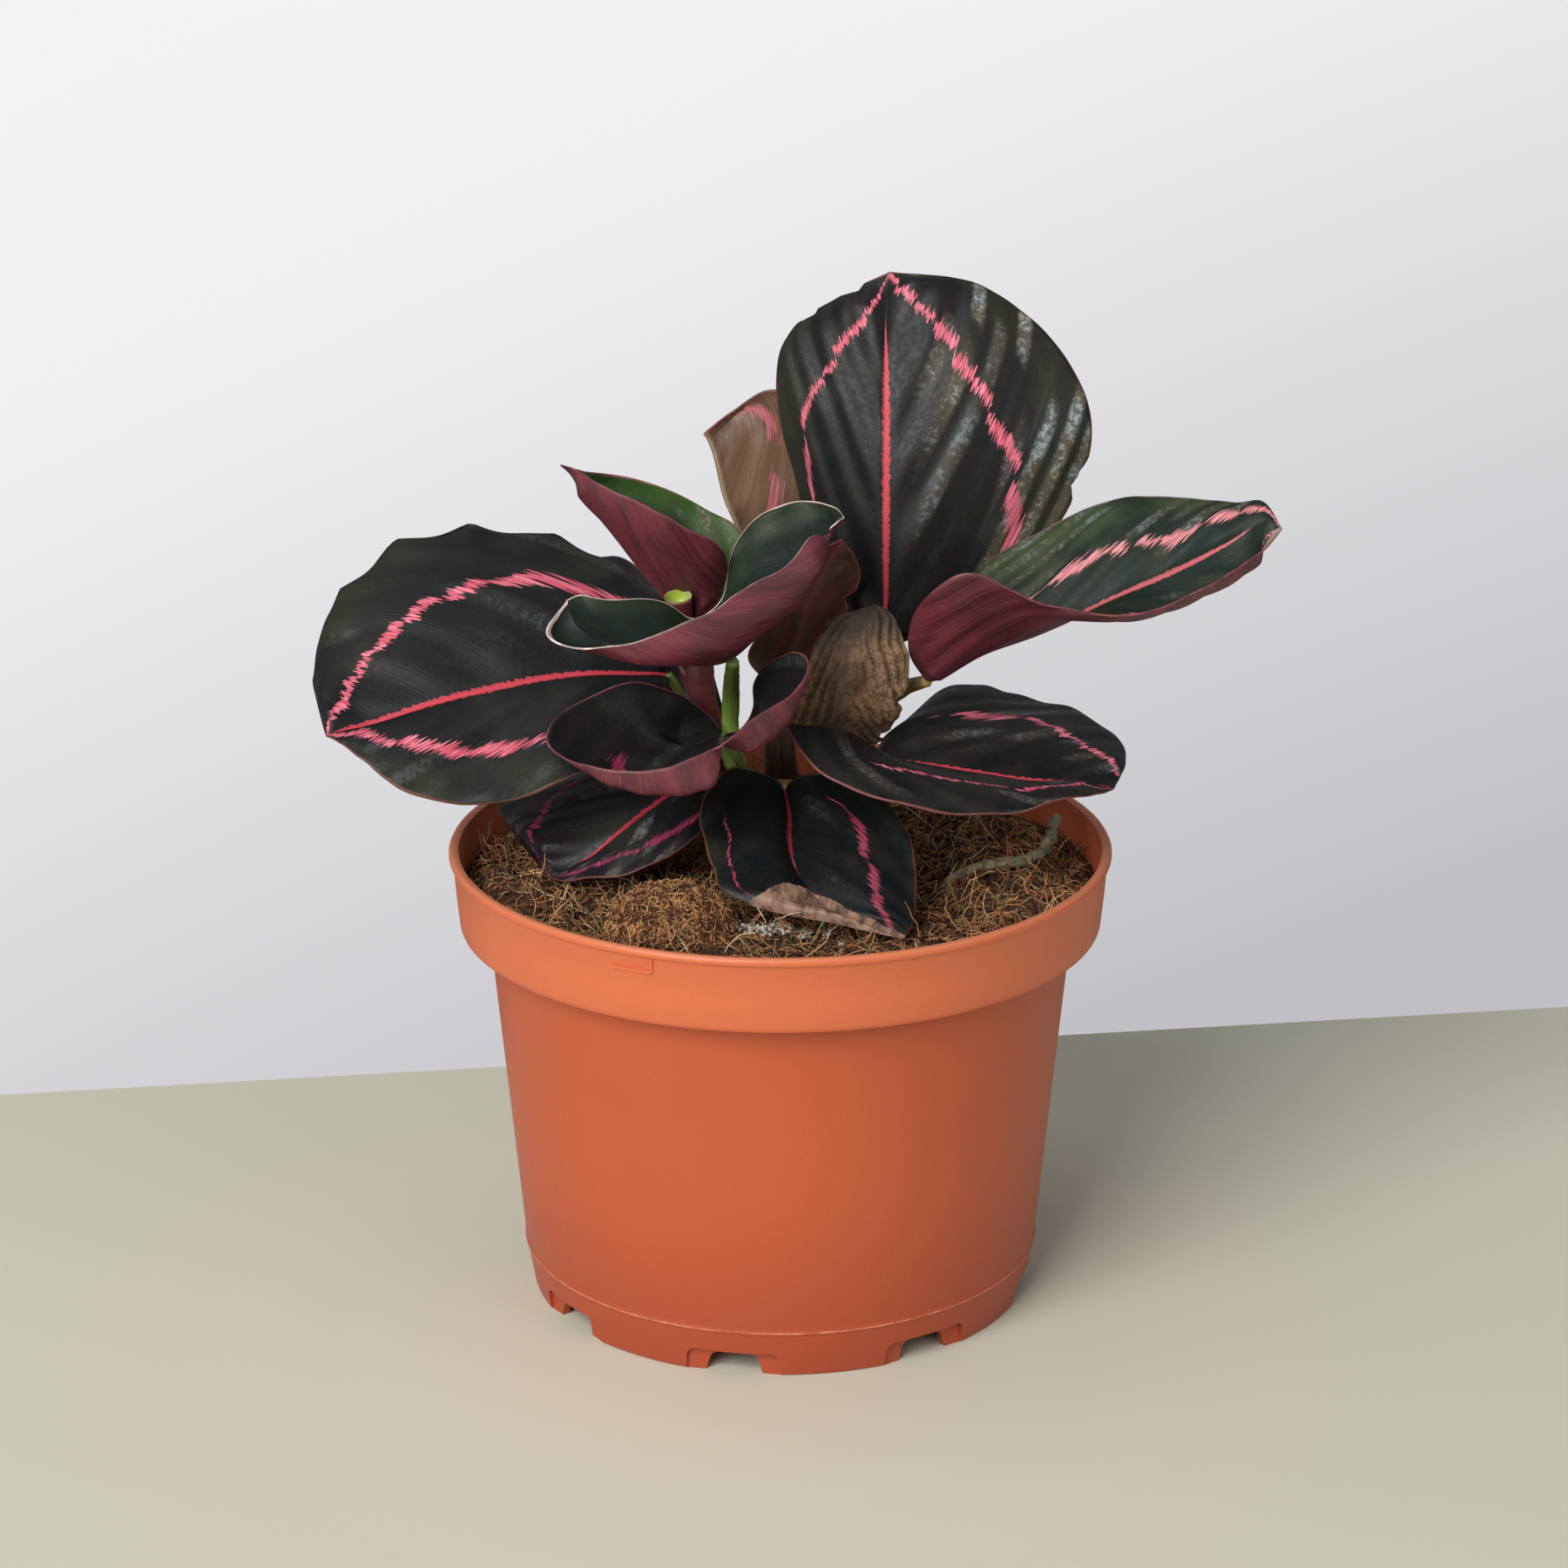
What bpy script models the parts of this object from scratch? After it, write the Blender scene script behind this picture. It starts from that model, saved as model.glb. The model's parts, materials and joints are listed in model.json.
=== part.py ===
"""A calathea with painted leaves, growing in a round plastic nursery pot.

The pot is a turned shell with a rolled rim band and a notched foot ring. It is
filled with potting mix to just under the rim, and the leaf stalks rise from one
crown in the middle of the mix. Each leaf is a thin blade lofted through three
guide curves: its two margins and its midrib.
"""

import math

import bmesh
import bpy
from mathutils import Vector

# Sizes in millimetres, turned to metres by MM.
MM = 0.001

POT_DIAMETER = 152.0
POT_HEIGHT = 107.0
POT_WALL = 1.5
RIM_BAND_HEIGHT = 17.0
RIM_BAND_STEP = 6.5
RIM_LIP_HEIGHT = 3.5
RIM_LIP_PROUD = 2.0
BODY_TAPER = 6.0
FOOT_TAPER = 1.8
SEAM_HEIGHT = 10.5
SEAM_PROUD = 0.4
FLOOR_HEIGHT = 4.5
FOOT_WIDTH = 3.0
DRAIN_COUNT = 8
DRAIN_TURN = 34.5
DRAIN_WIDTH = 11.0
DRAIN_HEIGHT = 5.0
DRAIN_HOLE_DIAMETER = 9.0

MIX_BELOW_RIM = 8.0
MIX_BUMP = 1.3
PLANT_HEIGHT = 133.0
BLADE_THICKNESS = 0.6
STALK_DIAMETER = 3.2
COIR_WIDTH = 27.0
TWIG_DIAMETER = 3.0
GAP = 0.3

POT_STEPS = 56
ROUND_STEPS = 48

# The guide points of the leaves and stalks are for a plant this tall above the
# mix, with stalks this thick, in mix this far across from its middle.
DRAWN_HEIGHT = 133.0
DRAWN_STALK = 3.2
SAG_WIDTH = 12.0
DRAWN_MIX_RADIUS = 71.6
GROWTH = PLANT_HEIGHT / DRAWN_HEIGHT

for old in list(bpy.data.objects):
    bpy.data.objects.remove(old, do_unlink=True)


def make_material(name, colour, roughness, metallic=0.0):
    material = bpy.data.materials.new(name)
    material.use_nodes = True
    shader = material.node_tree.nodes["Principled BSDF"]
    shader.inputs["Base Color"].default_value = (*colour, 1.0)
    shader.inputs["Roughness"].default_value = roughness
    shader.inputs["Metallic"].default_value = metallic
    return material


def add_object(name, data, material):
    data.materials.append(material)
    piece = bpy.data.objects.new(name, data)
    bpy.context.scene.collection.objects.link(piece)
    return piece


def turned(name, profile, material, steps):
    """A solid of revolution about Z from a closed profile of (radius, height) in mm."""
    bm = bmesh.new()
    rings = []
    for radius, height in profile:
        if radius < 1e-6:
            rings.append([bm.verts.new((0, 0, height * MM))])
            continue
        rings.append(
            [
                bm.verts.new(
                    (
                        radius * MM * math.cos(2 * math.pi * k / steps),
                        radius * MM * math.sin(2 * math.pi * k / steps),
                        height * MM,
                    )
                )
                for k in range(steps)
            ]
        )
    for low, high in zip(rings, rings[1:] + rings[:1]):
        for k in range(steps):
            corners = [
                low[k % len(low)],
                low[(k + 1) % len(low)],
                high[(k + 1) % len(high)],
                high[k % len(high)],
            ]
            corners = list(dict.fromkeys(corners))
            if len(corners) > 2:
                bm.faces.new(corners)
    bmesh.ops.recalc_face_normals(bm, faces=bm.faces)
    mesh = bpy.data.meshes.new(name)
    bm.to_mesh(mesh)
    bm.free()
    mesh.shade_smooth()
    mesh.set_sharp_from_angle(angle=math.radians(30))
    return add_object(name, mesh, material)


# The pot. Heights and radii follow the named sizes, so that the mix and the
# coir that fit inside can be read off the same wall.
rim_radius = POT_DIAMETER / 2
band_top = rim_radius - RIM_LIP_PROUD
band_bottom = band_top - 1.3
band_base = POT_HEIGHT - RIM_BAND_HEIGHT
body_top = band_bottom - RIM_BAND_STEP
seam_radius = body_top - BODY_TAPER
base_radius = seam_radius - FOOT_TAPER


def body_radius(height):
    """Outside radius of the tapered body, under the rim band."""
    if height < SEAM_HEIGHT:
        return base_radius + FOOT_TAPER * height / SEAM_HEIGHT
    return seam_radius + BODY_TAPER * (height - SEAM_HEIGHT) / (band_base - SEAM_HEIGHT)


def inner_radius(height):
    """Inside radius of the pot at a height."""
    if height > band_base + POT_WALL:
        share = (height - band_base) / RIM_BAND_HEIGHT
        return band_bottom + (band_top - band_bottom) * share - POT_WALL
    return body_radius(height) - POT_WALL


terracotta = make_material("terracotta_plastic", (0.62, 0.20, 0.075), 0.5)
foot_inner = body_radius(0) - FOOT_WIDTH
pot = turned(
    "pot",
    [
        (0, FLOOR_HEIGHT),
        (foot_inner - 1.0, FLOOR_HEIGHT),
        (foot_inner, FLOOR_HEIGHT - 1.0),
        (foot_inner, 0),
        (body_radius(0) - 0.6, 0),
        (body_radius(0), 0.6),
        (body_radius(SEAM_HEIGHT - 0.8), SEAM_HEIGHT - 0.8),
        (seam_radius + SEAM_PROUD, SEAM_HEIGHT - 0.3),
        (seam_radius + SEAM_PROUD, SEAM_HEIGHT + 0.3),
        (body_radius(SEAM_HEIGHT + 0.8), SEAM_HEIGHT + 0.8),
        (body_radius(band_base - 1.5), band_base - 1.5),
        (body_top + 1.5, band_base),
        (band_bottom - 0.6, band_base),
        (band_bottom, band_base + 0.8),
        (band_top, POT_HEIGHT - RIM_LIP_HEIGHT),
        (rim_radius - 0.4, POT_HEIGHT - RIM_LIP_HEIGHT + 0.2),
        (rim_radius, POT_HEIGHT - RIM_LIP_HEIGHT + 0.8),
        (rim_radius, POT_HEIGHT - 1.0),
        (rim_radius - 1.0, POT_HEIGHT),
        (inner_radius(POT_HEIGHT) + 0.4, POT_HEIGHT),
        (inner_radius(POT_HEIGHT), POT_HEIGHT - 0.5),
        (inner_radius(band_base + POT_WALL + 0.01), band_base + POT_WALL + 0.5),
        (body_top, band_base + POT_WALL),
        (inner_radius(band_base), band_base),
        (inner_radius(SEAM_HEIGHT), SEAM_HEIGHT),
        (inner_radius(FLOOR_HEIGHT + POT_WALL), FLOOR_HEIGHT + POT_WALL),
        (0, FLOOR_HEIGHT + POT_WALL),
    ],
    terracotta,
    POT_STEPS,
)

# Each drain is a notch through the foot ring and a round hole through the floor
# just inside it.
for k in range(DRAIN_COUNT):
    angle = math.radians(DRAIN_TURN + 360 * k / DRAIN_COUNT)
    notch_mesh = bpy.data.meshes.new("drain_notch")
    bm = bmesh.new()
    bmesh.ops.create_cube(bm, size=1.0)
    bmesh.ops.scale(
        bm, vec=(FOOT_WIDTH * 3 * MM, DRAIN_WIDTH * MM, 2 * DRAIN_HEIGHT * MM), verts=bm.verts
    )
    bm.to_mesh(notch_mesh)
    bm.free()
    hole_mesh = bpy.data.meshes.new("drain_hole")
    bm = bmesh.new()
    bmesh.ops.create_cone(
        bm,
        cap_ends=True,
        segments=12,
        radius1=DRAIN_HOLE_DIAMETER / 2 * MM,
        radius2=DRAIN_HOLE_DIAMETER / 2 * MM,
        depth=6 * POT_WALL * MM,
    )
    bm.to_mesh(hole_mesh)
    bm.free()
    cuts = (
        ("drain_notch", notch_mesh, foot_inner + FOOT_WIDTH / 2, 0.0),
        ("drain_hole", hole_mesh, foot_inner - DRAIN_HOLE_DIAMETER, FLOOR_HEIGHT + POT_WALL / 2),
    )
    for label, mesh, radius, height in cuts:
        cutter = bpy.data.objects.new(f"{label}_{k + 1}", mesh)
        bpy.context.scene.collection.objects.link(cutter)
        cutter.location = (radius * MM * math.cos(angle), radius * MM * math.sin(angle), height * MM)
        cutter.rotation_euler[2] = angle
        cutter.hide_render = True
        cutter.display_type = "WIRE"
        cutter.parent = pot
        cut = pot.modifiers.new(cutter.name, "BOOLEAN")
        cut.operation = "DIFFERENCE"
        cut.object = cutter

# The potting mix fills the pot up to a lumpy surface under the rim.
mix_level = POT_HEIGHT - MIX_BELOW_RIM
mix_radius = inner_radius(mix_level) - GAP
mix_floor = FLOOR_HEIGHT + POT_WALL + GAP
peat = make_material("potting_mix", (0.045, 0.028, 0.018), 0.95)


def bumps(x, y):
    """Height of the lumps of the mix over its level, in mm, never above MIX_BUMP."""
    wave = math.sin(0.21 * x + 0.9) * math.cos(0.17 * y - 0.4) + 0.6 * math.sin(0.13 * (x + 2 * y))
    return MIX_BUMP * wave / 1.6


mix = turned(
    "potting_mix",
    [
        (0, mix_floor),
        (inner_radius(mix_floor) - GAP - 0.1, mix_floor),
        (inner_radius(SEAM_HEIGHT) - GAP - 0.1, SEAM_HEIGHT),
        (inner_radius(band_base) - GAP - 0.1, band_base),
        (inner_radius(band_base) - GAP - 0.1, band_base + POT_WALL + GAP + 0.2),
        (mix_radius - 1.2, band_base + POT_WALL + 1.5),
        (mix_radius - 0.2, mix_level - 1.5),
        (mix_radius - 3.5, mix_level),
    ]
    + [(mix_radius * share, mix_level) for share in (0.82, 0.68, 0.54, 0.4, 0.26, 0.12)]
    + [(0, mix_level)],
    peat,
    ROUND_STEPS,
)
for vertex in mix.data.vertices:
    if vertex.co.z > (mix_level - 0.5) * MM:
        x, y = vertex.co.x / MM, vertex.co.y / MM
        inside = min(1.0, (mix_radius - math.hypot(x, y)) / 6)
        near_crown = min(1.0, math.hypot(x, y) / 24)
        vertex.co.z += bumps(x, y) * inside * near_crown * MM

# A loose plug of coir stands up out of the mix, close to the wall.
coir = make_material("coir", (0.30, 0.17, 0.08), 0.95)
coir_reach = mix_radius - COIR_WIDTH / 2 - 4
coir_at = Vector((-26, -45, 0)).normalized() * coir_reach
bm = bmesh.new()
bmesh.ops.create_icosphere(bm, subdivisions=2, radius=0.5 * COIR_WIDTH * MM)
bmesh.ops.scale(bm, vec=(1.0, 0.8, 0.42), verts=bm.verts)
bmesh.ops.bisect_plane(
    bm,
    geom=bm.verts[:] + bm.edges[:] + bm.faces[:],
    plane_co=(0, 0, -0.06 * COIR_WIDTH * MM),
    plane_no=(0, 0, 1),
    clear_inner=True,
)
bmesh.ops.holes_fill(bm, edges=bm.edges[:])
bmesh.ops.recalc_face_normals(bm, faces=bm.faces)
coir_mesh = bpy.data.meshes.new("coir_plug")
bm.to_mesh(coir_mesh)
bm.free()
coir_mesh.shade_smooth()
coir_plug = add_object("coir_plug", coir_mesh, coir)
coir_plug.location = (
    coir_at.x * MM,
    coir_at.y * MM,
    (mix_level + MIX_BUMP + GAP + 0.06 * COIR_WIDTH) * MM,
)


def tube(name, points, radii, material):
    """A round stem through points in mm, with a radius at each."""
    curve = bpy.data.curves.new(name, "CURVE")
    curve.dimensions = "3D"
    curve.resolution_u = 3
    curve.bevel_depth = MM
    curve.bevel_resolution = 2
    curve.use_fill_caps = True
    line = curve.splines.new("BEZIER")
    line.bezier_points.add(len(points) - 1)
    for knot, at, radius in zip(line.bezier_points, points, radii):
        knot.co = at * MM
        knot.handle_left_type = "AUTO"
        knot.handle_right_type = "AUTO"
        knot.radius = radius
    return add_object(name, curve, material)


crown = Vector((0, 0, mix_level))

# A mossy twig lies on the mix and leans up to the wall.
twig_reach = inner_radius(POT_HEIGHT) - TWIG_DIAMETER - 2
bark = make_material("bark", (0.13, 0.10, 0.05), 0.9)
twig_end = Vector((65, 19, 0)).normalized() * twig_reach
twig_rise = MIX_BUMP + GAP + 0.5 * TWIG_DIAMETER
tube(
    "twig",
    [
        crown + Vector((0.62 * twig_reach, -4, twig_rise)),
        crown + Vector((0.83 * twig_reach, 7, twig_rise + 1.2)),
        crown + Vector((twig_end.x, twig_end.y, twig_rise + 5)),
    ],
    [0.5 * TWIG_DIAMETER, 0.42 * TWIG_DIAMETER, 0.36 * TWIG_DIAMETER],
    bark,
)


def along(points, t):
    """A point on the smooth curve through the points, t from 0 to 1."""
    last = len(points) - 1
    place = min(max(t, 0.0), 1.0) * last
    i = min(int(place), last - 1)
    f = place - i
    b, c = points[i], points[i + 1]
    a = points[i - 1] if i > 0 else 2 * b - c
    d = points[i + 2] if i + 2 <= last else 2 * c - b
    return 0.5 * (2 * b + (c - a) * f + (2 * a - 5 * b + 4 * c - d) * f**2 + (3 * b - a - 3 * c + d) * f**3)


def grown(point, reach):
    """A guide point in the plant's full size, spread by reach and raised with the plant."""
    return crown + Vector((point[0] * reach, point[1] * reach, point[2] * GROWTH))


def blade(name, base, stations, tip, sag, material, reach=GROWTH, rows=11, columns=3):
    """A leaf blade from its base point to its tip.

    Each station is (left margin, midrib, right margin) in mm from the crown of
    the drawn plant. sag is how far each half bows out of the straight line from
    margin to midrib, as (left, right), towards the upper face where positive. It
    fades where the blade narrows to its base and tip.
    reach is how far out the tip goes, where that isn't with the plant's growth.
    """
    last = len(stations) + 1
    guides = [
        [grown(p, GROWTH + (reach - GROWTH) * k / last) for k, p in enumerate((base, *line, tip))]
        for line in zip(*stations)
    ]
    bm = bmesh.new()
    grid = [[bm.verts.new(guides[1][0] * MM)]]
    for i in range(1, rows):
        t = i / rows
        left, middle, right = (along(line, t) for line in guides)
        forward = along(guides[1], t + 0.02) - along(guides[1], t - 0.02)
        row = []
        for j in range(-columns, columns + 1):
            side = left if j < 0 else right
            out = (middle - left) if j < 0 else (right - middle)
            up = out.cross(forward).normalized()
            share = abs(j) / columns
            full = min(1.0, (out.length / SAG_WIDTH) ** 2)
            bow = GROWTH * full * 4 * share * (1 - share) * (sag[0] if j < 0 else sag[1])
            row.append(bm.verts.new((middle.lerp(side, share) + up * bow) * MM))
        grid.append(row)
    grid.append([bm.verts.new(guides[1][-1] * MM)])
    for first, second in zip(grid, grid[1:]):
        for j in range(2 * columns):
            corners = [
                first[min(j, len(first) - 1)],
                first[min(j + 1, len(first) - 1)],
                second[min(j + 1, len(second) - 1)],
                second[min(j, len(second) - 1)],
            ]
            bm.faces.new(list(dict.fromkeys(corners)))
    bmesh.ops.recalc_face_normals(bm, faces=bm.faces)
    mesh = bpy.data.meshes.new(name)
    bm.to_mesh(mesh)
    bm.free()
    mesh.shade_smooth()
    piece = add_object(name, mesh, material)
    thick = piece.modifiers.new("thickness", "SOLIDIFY")
    thick.thickness = BLADE_THICKNESS * MM
    thick.offset = 0.0
    return piece


def stalk(name, points, blade_base, ends, material):
    """A leaf stalk from the mix to just short of the base of its blade.

    ends gives the radius at the foot and at the blade as shares. The feet stand
    further apart when the stalks are thicker, and the top follows the blade.
    """
    spread = STALK_DIAMETER / DRAWN_STALK
    target = grown(blade_base, GROWTH)
    count = len(points)
    knots = []
    for k, (x, y, z) in enumerate(points):
        knots.append(grown((x, y, z), spread + (GROWTH - spread) * (k / count) ** 2))
    foot, top = (0.5 * STALK_DIAMETER * end for end in ends)
    knots[0].z = crown.z + 0.5 * MIX_BUMP + GAP + 0.4 * foot
    back = (knots[-1] - target).normalized()
    knots.append(target + back * (0.5 * BLADE_THICKNESS + GAP + top))
    radii = [foot + (top - foot) * k / count for k in range(count + 1)]
    return tube(name, knots, radii, material)


# The two lowest leaves lie over the mix, inside the wall, so their tips follow it.
low_reach = mix_radius / DRAWN_MIX_RADIUS

leaf_green = make_material("leaf_dark", (0.018, 0.024, 0.022), 0.38)
leaf_young = make_material("leaf_green", (0.035, 0.075, 0.030), 0.4)
leaf_under = make_material("leaf_underside", (0.22, 0.045, 0.055), 0.45)
leaf_dry = make_material("leaf_dry", (0.16, 0.075, 0.035), 0.8)
stalk_green = make_material("stalk_green", (0.16, 0.20, 0.05), 0.5)
stalk_red = make_material("stalk_red", (0.25, 0.06, 0.04), 0.5)
stalk_olive = make_material("stalk_olive", (0.25, 0.19, 0.07), 0.55)

blade(
    "leaf_tall",
    (23, 12, 50),
    [
        ((12, 20, 59), (24, 12, 60), (42, 19, 57)),
        ((4, 30, 84), (24, 14, 78), (63, 22, 76)),
        ((-1, 34, 107), (24, 18, 97), (71, 24, 98)),
        ((3, 36, 120), (24, 24, 113), (64, 29, 116)),
        ((15, 36, 128), (24, 31, 124), (46, 34, 130)),
    ],
    (25, 36, 133),
    (2, 3),
    leaf_green,
)
stalk("stalk_tall", [(7, 7, 0), (12, 10, 14), (18, 12, 30)], (23, 12, 50), (1.1, 0.8), stalk_olive)

blade(
    "leaf_left",
    (-25, 6, 46),
    [
        ((-29, -14, 37), (-32, 4, 47), (-24, 22, 57)),
        ((-43, -26, 34), (-46, 0, 48), (-36, 30, 66)),
        ((-63, -30, 27), (-60, -4, 47), (-60, 32, 74)),
        ((-82, -30, 30), (-77, -8, 44), (-87, 28, 73)),
        ((-93, -24, 36), (-91, -11, 40), (-104, 14, 59)),
        ((-99, -18, 38), (-98, -13, 39), (-106, 0, 48)),
    ],
    (-102, -14, 38),
    (2, 3),
    leaf_green,
)
stalk("stalk_left", [(-9.5, 5, 0), (-14.5, 6.5, 18), (-19, 6.5, 34)], (-25, 6, 46), (1.1, 0.8), stalk_green)

blade(
    "leaf_right",
    (33, -5, 48),
    [
        ((38, 10, 59), (37, -4, 49), (29, -10, 57)),
        ((46, 15, 69), (46, -3, 54), (31, -22, 72)),
        ((61, 18, 77), (60, -2, 59), (41, -28, 80)),
        ((76, 18, 84), (75, 0, 66), (56, -26, 73)),
        ((90, 16, 85), (89, 2, 72), (76, -20, 68)),
        ((103, 12, 85), (101, 4, 78), (95, -12, 72)),
        ((109, 9, 86), (109, 5, 83), (107, -3, 77)),
    ],
    (113, 4, 81),
    (2, -5),
    leaf_young,
)
stalk(
    "stalk_right",
    [(10, -1, 0), (14, 4, 13), (19, 6, 27), (23, 6, 38), (28, 2, 44)],
    (33, -5, 48),
    (1.2, 1.0),
    stalk_olive,
)

blade(
    "leaf_lower_right",
    (21, -10, 31),
    [
        ((22, -5, 31), (22, -11, 32), (12, -18, 40)),
        ((25, 2, 33), (25, -13, 32), (2, -26, 44)),
        ((36, 14, 39), (31, -16, 32), (10, -35, 36)),
        ((47, 18, 39), (42, -18, 31), (28, -40, 31)),
        ((58, 18, 37), (54, -18, 29), (48, -39, 28)),
        ((70, 12, 34), (65, -18, 28), (64, -32, 29)),
        ((78, 0, 30), (73, -17, 27), (72, -22, 27)),
    ],
    (75, -16, 26),
    (2, 2),
    leaf_green,
)
stalk("stalk_lower_right", [(6, -9, 0), (12, -9, 12), (17, -9, 24)], (21, -10, 31), (1.0, 0.7), stalk_olive)

blade(
    "leaf_front",
    (1, -9, 25),
    [
        ((12, -12, 26), (1, -11, 23), (-6, -12, 26)),
        ((22, -18, 25), (2, -17, 20), (-16, -15, 26)),
        ((28, -26, 20), (2, -25, 17), (-18, -22, 22)),
        ((30, -34, 15), (3, -32, 14), (-17, -28, 19)),
        ((30, -42, 10), (6, -39, 11), (-15, -35, 14)),
        ((29, -49, 6), (13, -46, 7), (-9, -43, 9)),
    ],
    (27, -53, 4),
    (2, 2),
    leaf_green,
    low_reach,
)
stalk("stalk_front", [(1.5, -8.5, 0), (1, -8.5, 12)], (1, -9, 25), (1.6, 1.2), stalk_olive)

blade(
    "leaf_front_left",
    (-11, -6, 28),
    [
        ((-15, -14, 20), (-16, -9, 26), (-17, -4, 28)),
        ((-19, -20, 16), (-23, -10, 24), (-31, 8, 26)),
        ((-26, -24, 12), (-30, -13, 20), (-46, 13, 22)),
        ((-34, -26, 9), (-36, -16, 16), (-58, 14, 18)),
        ((-42, -25, 8), (-42, -17, 11), (-65, 8, 15)),
        ((-48, -22, 6), (-47, -17, 8), (-61, -3, 11)),
    ],
    (-52, -17, 5),
    (1, 3),
    leaf_green,
    low_reach,
)
stalk("stalk_front_left", [(-7.6, -6.6, 0), (-9, -6.9, 12)], (-11, -6, 28), (1.0, 0.8), stalk_olive)

blade(
    "leaf_cupped",
    (-13, -10, 37),
    [
        ((-9, -9, 38), (-13, -15, 38), (-16, -9, 41)),
        ((-6, -9, 43), (-13, -19, 39), (-24, -11, 47)),
        ((-3, -12, 50), (-13, -24, 41), (-33, -12, 50)),
        ((0, -17, 57), (-13, -29, 42), (-43, -16, 48)),
        ((4, -24, 60), (-13, -33, 43), (-50, -23, 45)),
        ((5, -33, 59), (-13, -38, 44), (-51, -33, 42)),
        ((2, -40, 55), (-13, -43, 46), (-43, -41, 40)),
        ((-6, -47, 51), (-13, -47, 47), (-28, -47, 41)),
    ],
    (-13, -52, 48),
    (-6, -8),
    leaf_young,
)
stalk(
    "stalk_cupped",
    [(-3.4, -8.8, 0), (-5.8, -9.8, 14), (-9.4, -9.6, 25), (-12.2, -9.8, 32)],
    (-13, -10, 37),
    (0.8, 0.7),
    stalk_green,
)

blade(
    "leaf_folded",
    (14, -14, 89),
    [
        ((11, -20, 88), (11, -16, 86), (12, -10, 90)),
        ((6, -26, 87), (8, -19, 79), (6, -5, 90)),
        ((1, -30, 82), (2, -22, 70), (-3, -2, 87)),
        ((-6, -34, 79), (-5, -25, 65), (-10, -3, 80)),
        ((-13, -37, 75), (-12, -28, 60), (-13, -8, 69)),
        ((-21, -39, 72), (-20, -30, 60), (-19, -14, 66)),
        ((-31, -39, 68), (-30, -29, 62), (-27, -18, 71)),
        ((-43, -36, 65), (-40, -29, 65), (-39, -21, 72)),
        ((-51, -31, 67), (-45, -26, 68), (-44, -21, 73)),
    ],
    (-47, -22, 72),
    (-4, -2),
    leaf_young,
)
stalk(
    "stalk_folded",
    [(-2.6, -3.8, 0), (-5.8, -3.2, 15), (-9.8, -2.5, 28), (-11.3, -5, 36), (-11, -11, 48)],
    (-10.5, -27.5, 59),
    (1.0, 0.9),
    stalk_green,
)

blade(
    "leaf_rolled",
    (-18, -2, 57),
    [
        ((-12, -5, 73), (-21, -1, 62), (-9, 9, 67)),
        ((-14, -11, 82), (-26, 0, 66), (-9, 15, 77)),
        ((-22, -14, 87), (-32, 2, 73), (-17, 18, 82)),
        ((-31, -13, 92), (-37, 2, 80), (-26, 17, 87)),
        ((-39, -10, 95), (-42, 2, 87), (-36, 13, 91)),
        ((-45, -5, 97), (-46, 1, 94), (-44, 6, 94)),
    ],
    (-49, 0, 97),
    (-3, -3),
    leaf_young,
)
stalk(
    "stalk_rolled",
    [(-5.5, 0.2, 0), (-10, 0, 18), (-14.5, -0.5, 30), (-18, -3, 45)],
    (-18, -2, 57),
    (0.9, 1.0),
    stalk_red,
)

blade(
    "leaf_back_left",
    (-12, 6, 33),
    [
        ((-19, 16, 35), (-18, 14, 42), (-17, 20, 47)),
        ((-31, 34, 34), (-26, 28, 47), (-19, 32, 51)),
        ((-43, 46, 37), (-35, 42, 50), (-26, 40, 54)),
        ((-51, 56, 42), (-44, 54, 52), (-33, 48, 59)),
        ((-54, 62, 47), (-49, 62, 52), (-40, 56, 60)),
    ],
    (-49, 66, 54),
    (2, 2),
    leaf_green,
)
stalk("stalk_back_left", [(-6.5, 9.5, 0), (-9.5, 9.5, 16)], (-12, 6, 33), (0.9, 0.7), stalk_green)

blade(
    "leaf_inner",
    (1, 0, 43),
    [
        ((7, 0, 49), (2, 4, 49), (-7, 0, 51)),
        ((12, 2, 57), (4, 6, 55), (-5, 0, 58)),
        ((16, 4, 64), (7, 7, 63), (-1, 2, 66)),
        ((18, 6, 71), (10, 8, 71), (6, 4, 74)),
    ],
    (14, 7, 78),
    (1, 1),
    leaf_under,
)
stalk("stalk_inner", [(2.5, 1.5, 0), (2, 1, 20)], (1, 0, 43), (0.9, 0.7), stalk_red)

blade(
    "leaf_back",
    (-3, 22, 57),
    [
        ((7, 38, 61), (-8, 30, 65), (-6, 44, 63)),
        ((14, 46, 71), (-10, 37, 72), (-7, 60, 67)),
        ((14, 50, 85), (-13, 42, 78), (-10, 66, 74)),
        ((8, 50, 97), (-15, 45, 86), (-12, 64, 82)),
        ((-2, 50, 102), (-16, 47, 89), (-15, 58, 88)),
        ((-11, 50, 97), (-17, 48, 91), (-17, 52, 91)),
    ],
    (-18, 48, 92),
    (2, 2),
    leaf_under,
)
stalk("stalk_back", [(0, 8, 0), (-1, 13, 20), (-3, 20, 43)], (-3, 22, 57), (1.0, 0.8), stalk_green)

blade(
    "leaf_dead",
    (21, -2, 65),
    [
        ((25, -6, 63), (19, -10, 63), (15, -6, 64)),
        ((27, -10, 57), (17, -15, 58), (12, -9, 60)),
        ((28, -11, 52), (16, -17, 51), (9, -11, 53)),
        ((27, -11, 45), (15, -16, 45), (5, -12, 47)),
        ((25, -8, 40), (16, -12, 40), (3, -12, 42)),
        ((22, -6, 36), (17, -8, 36), (10, -10, 38)),
    ],
    (18, -6, 34),
    (1, 1),
    leaf_dry,
)
stalk("stalk_dead", [(5.5, 1.5, 0), (11, -2, 14), (15, -5, 25)], (18, -6, 34), (0.8, 0.6), leaf_dry)

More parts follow.
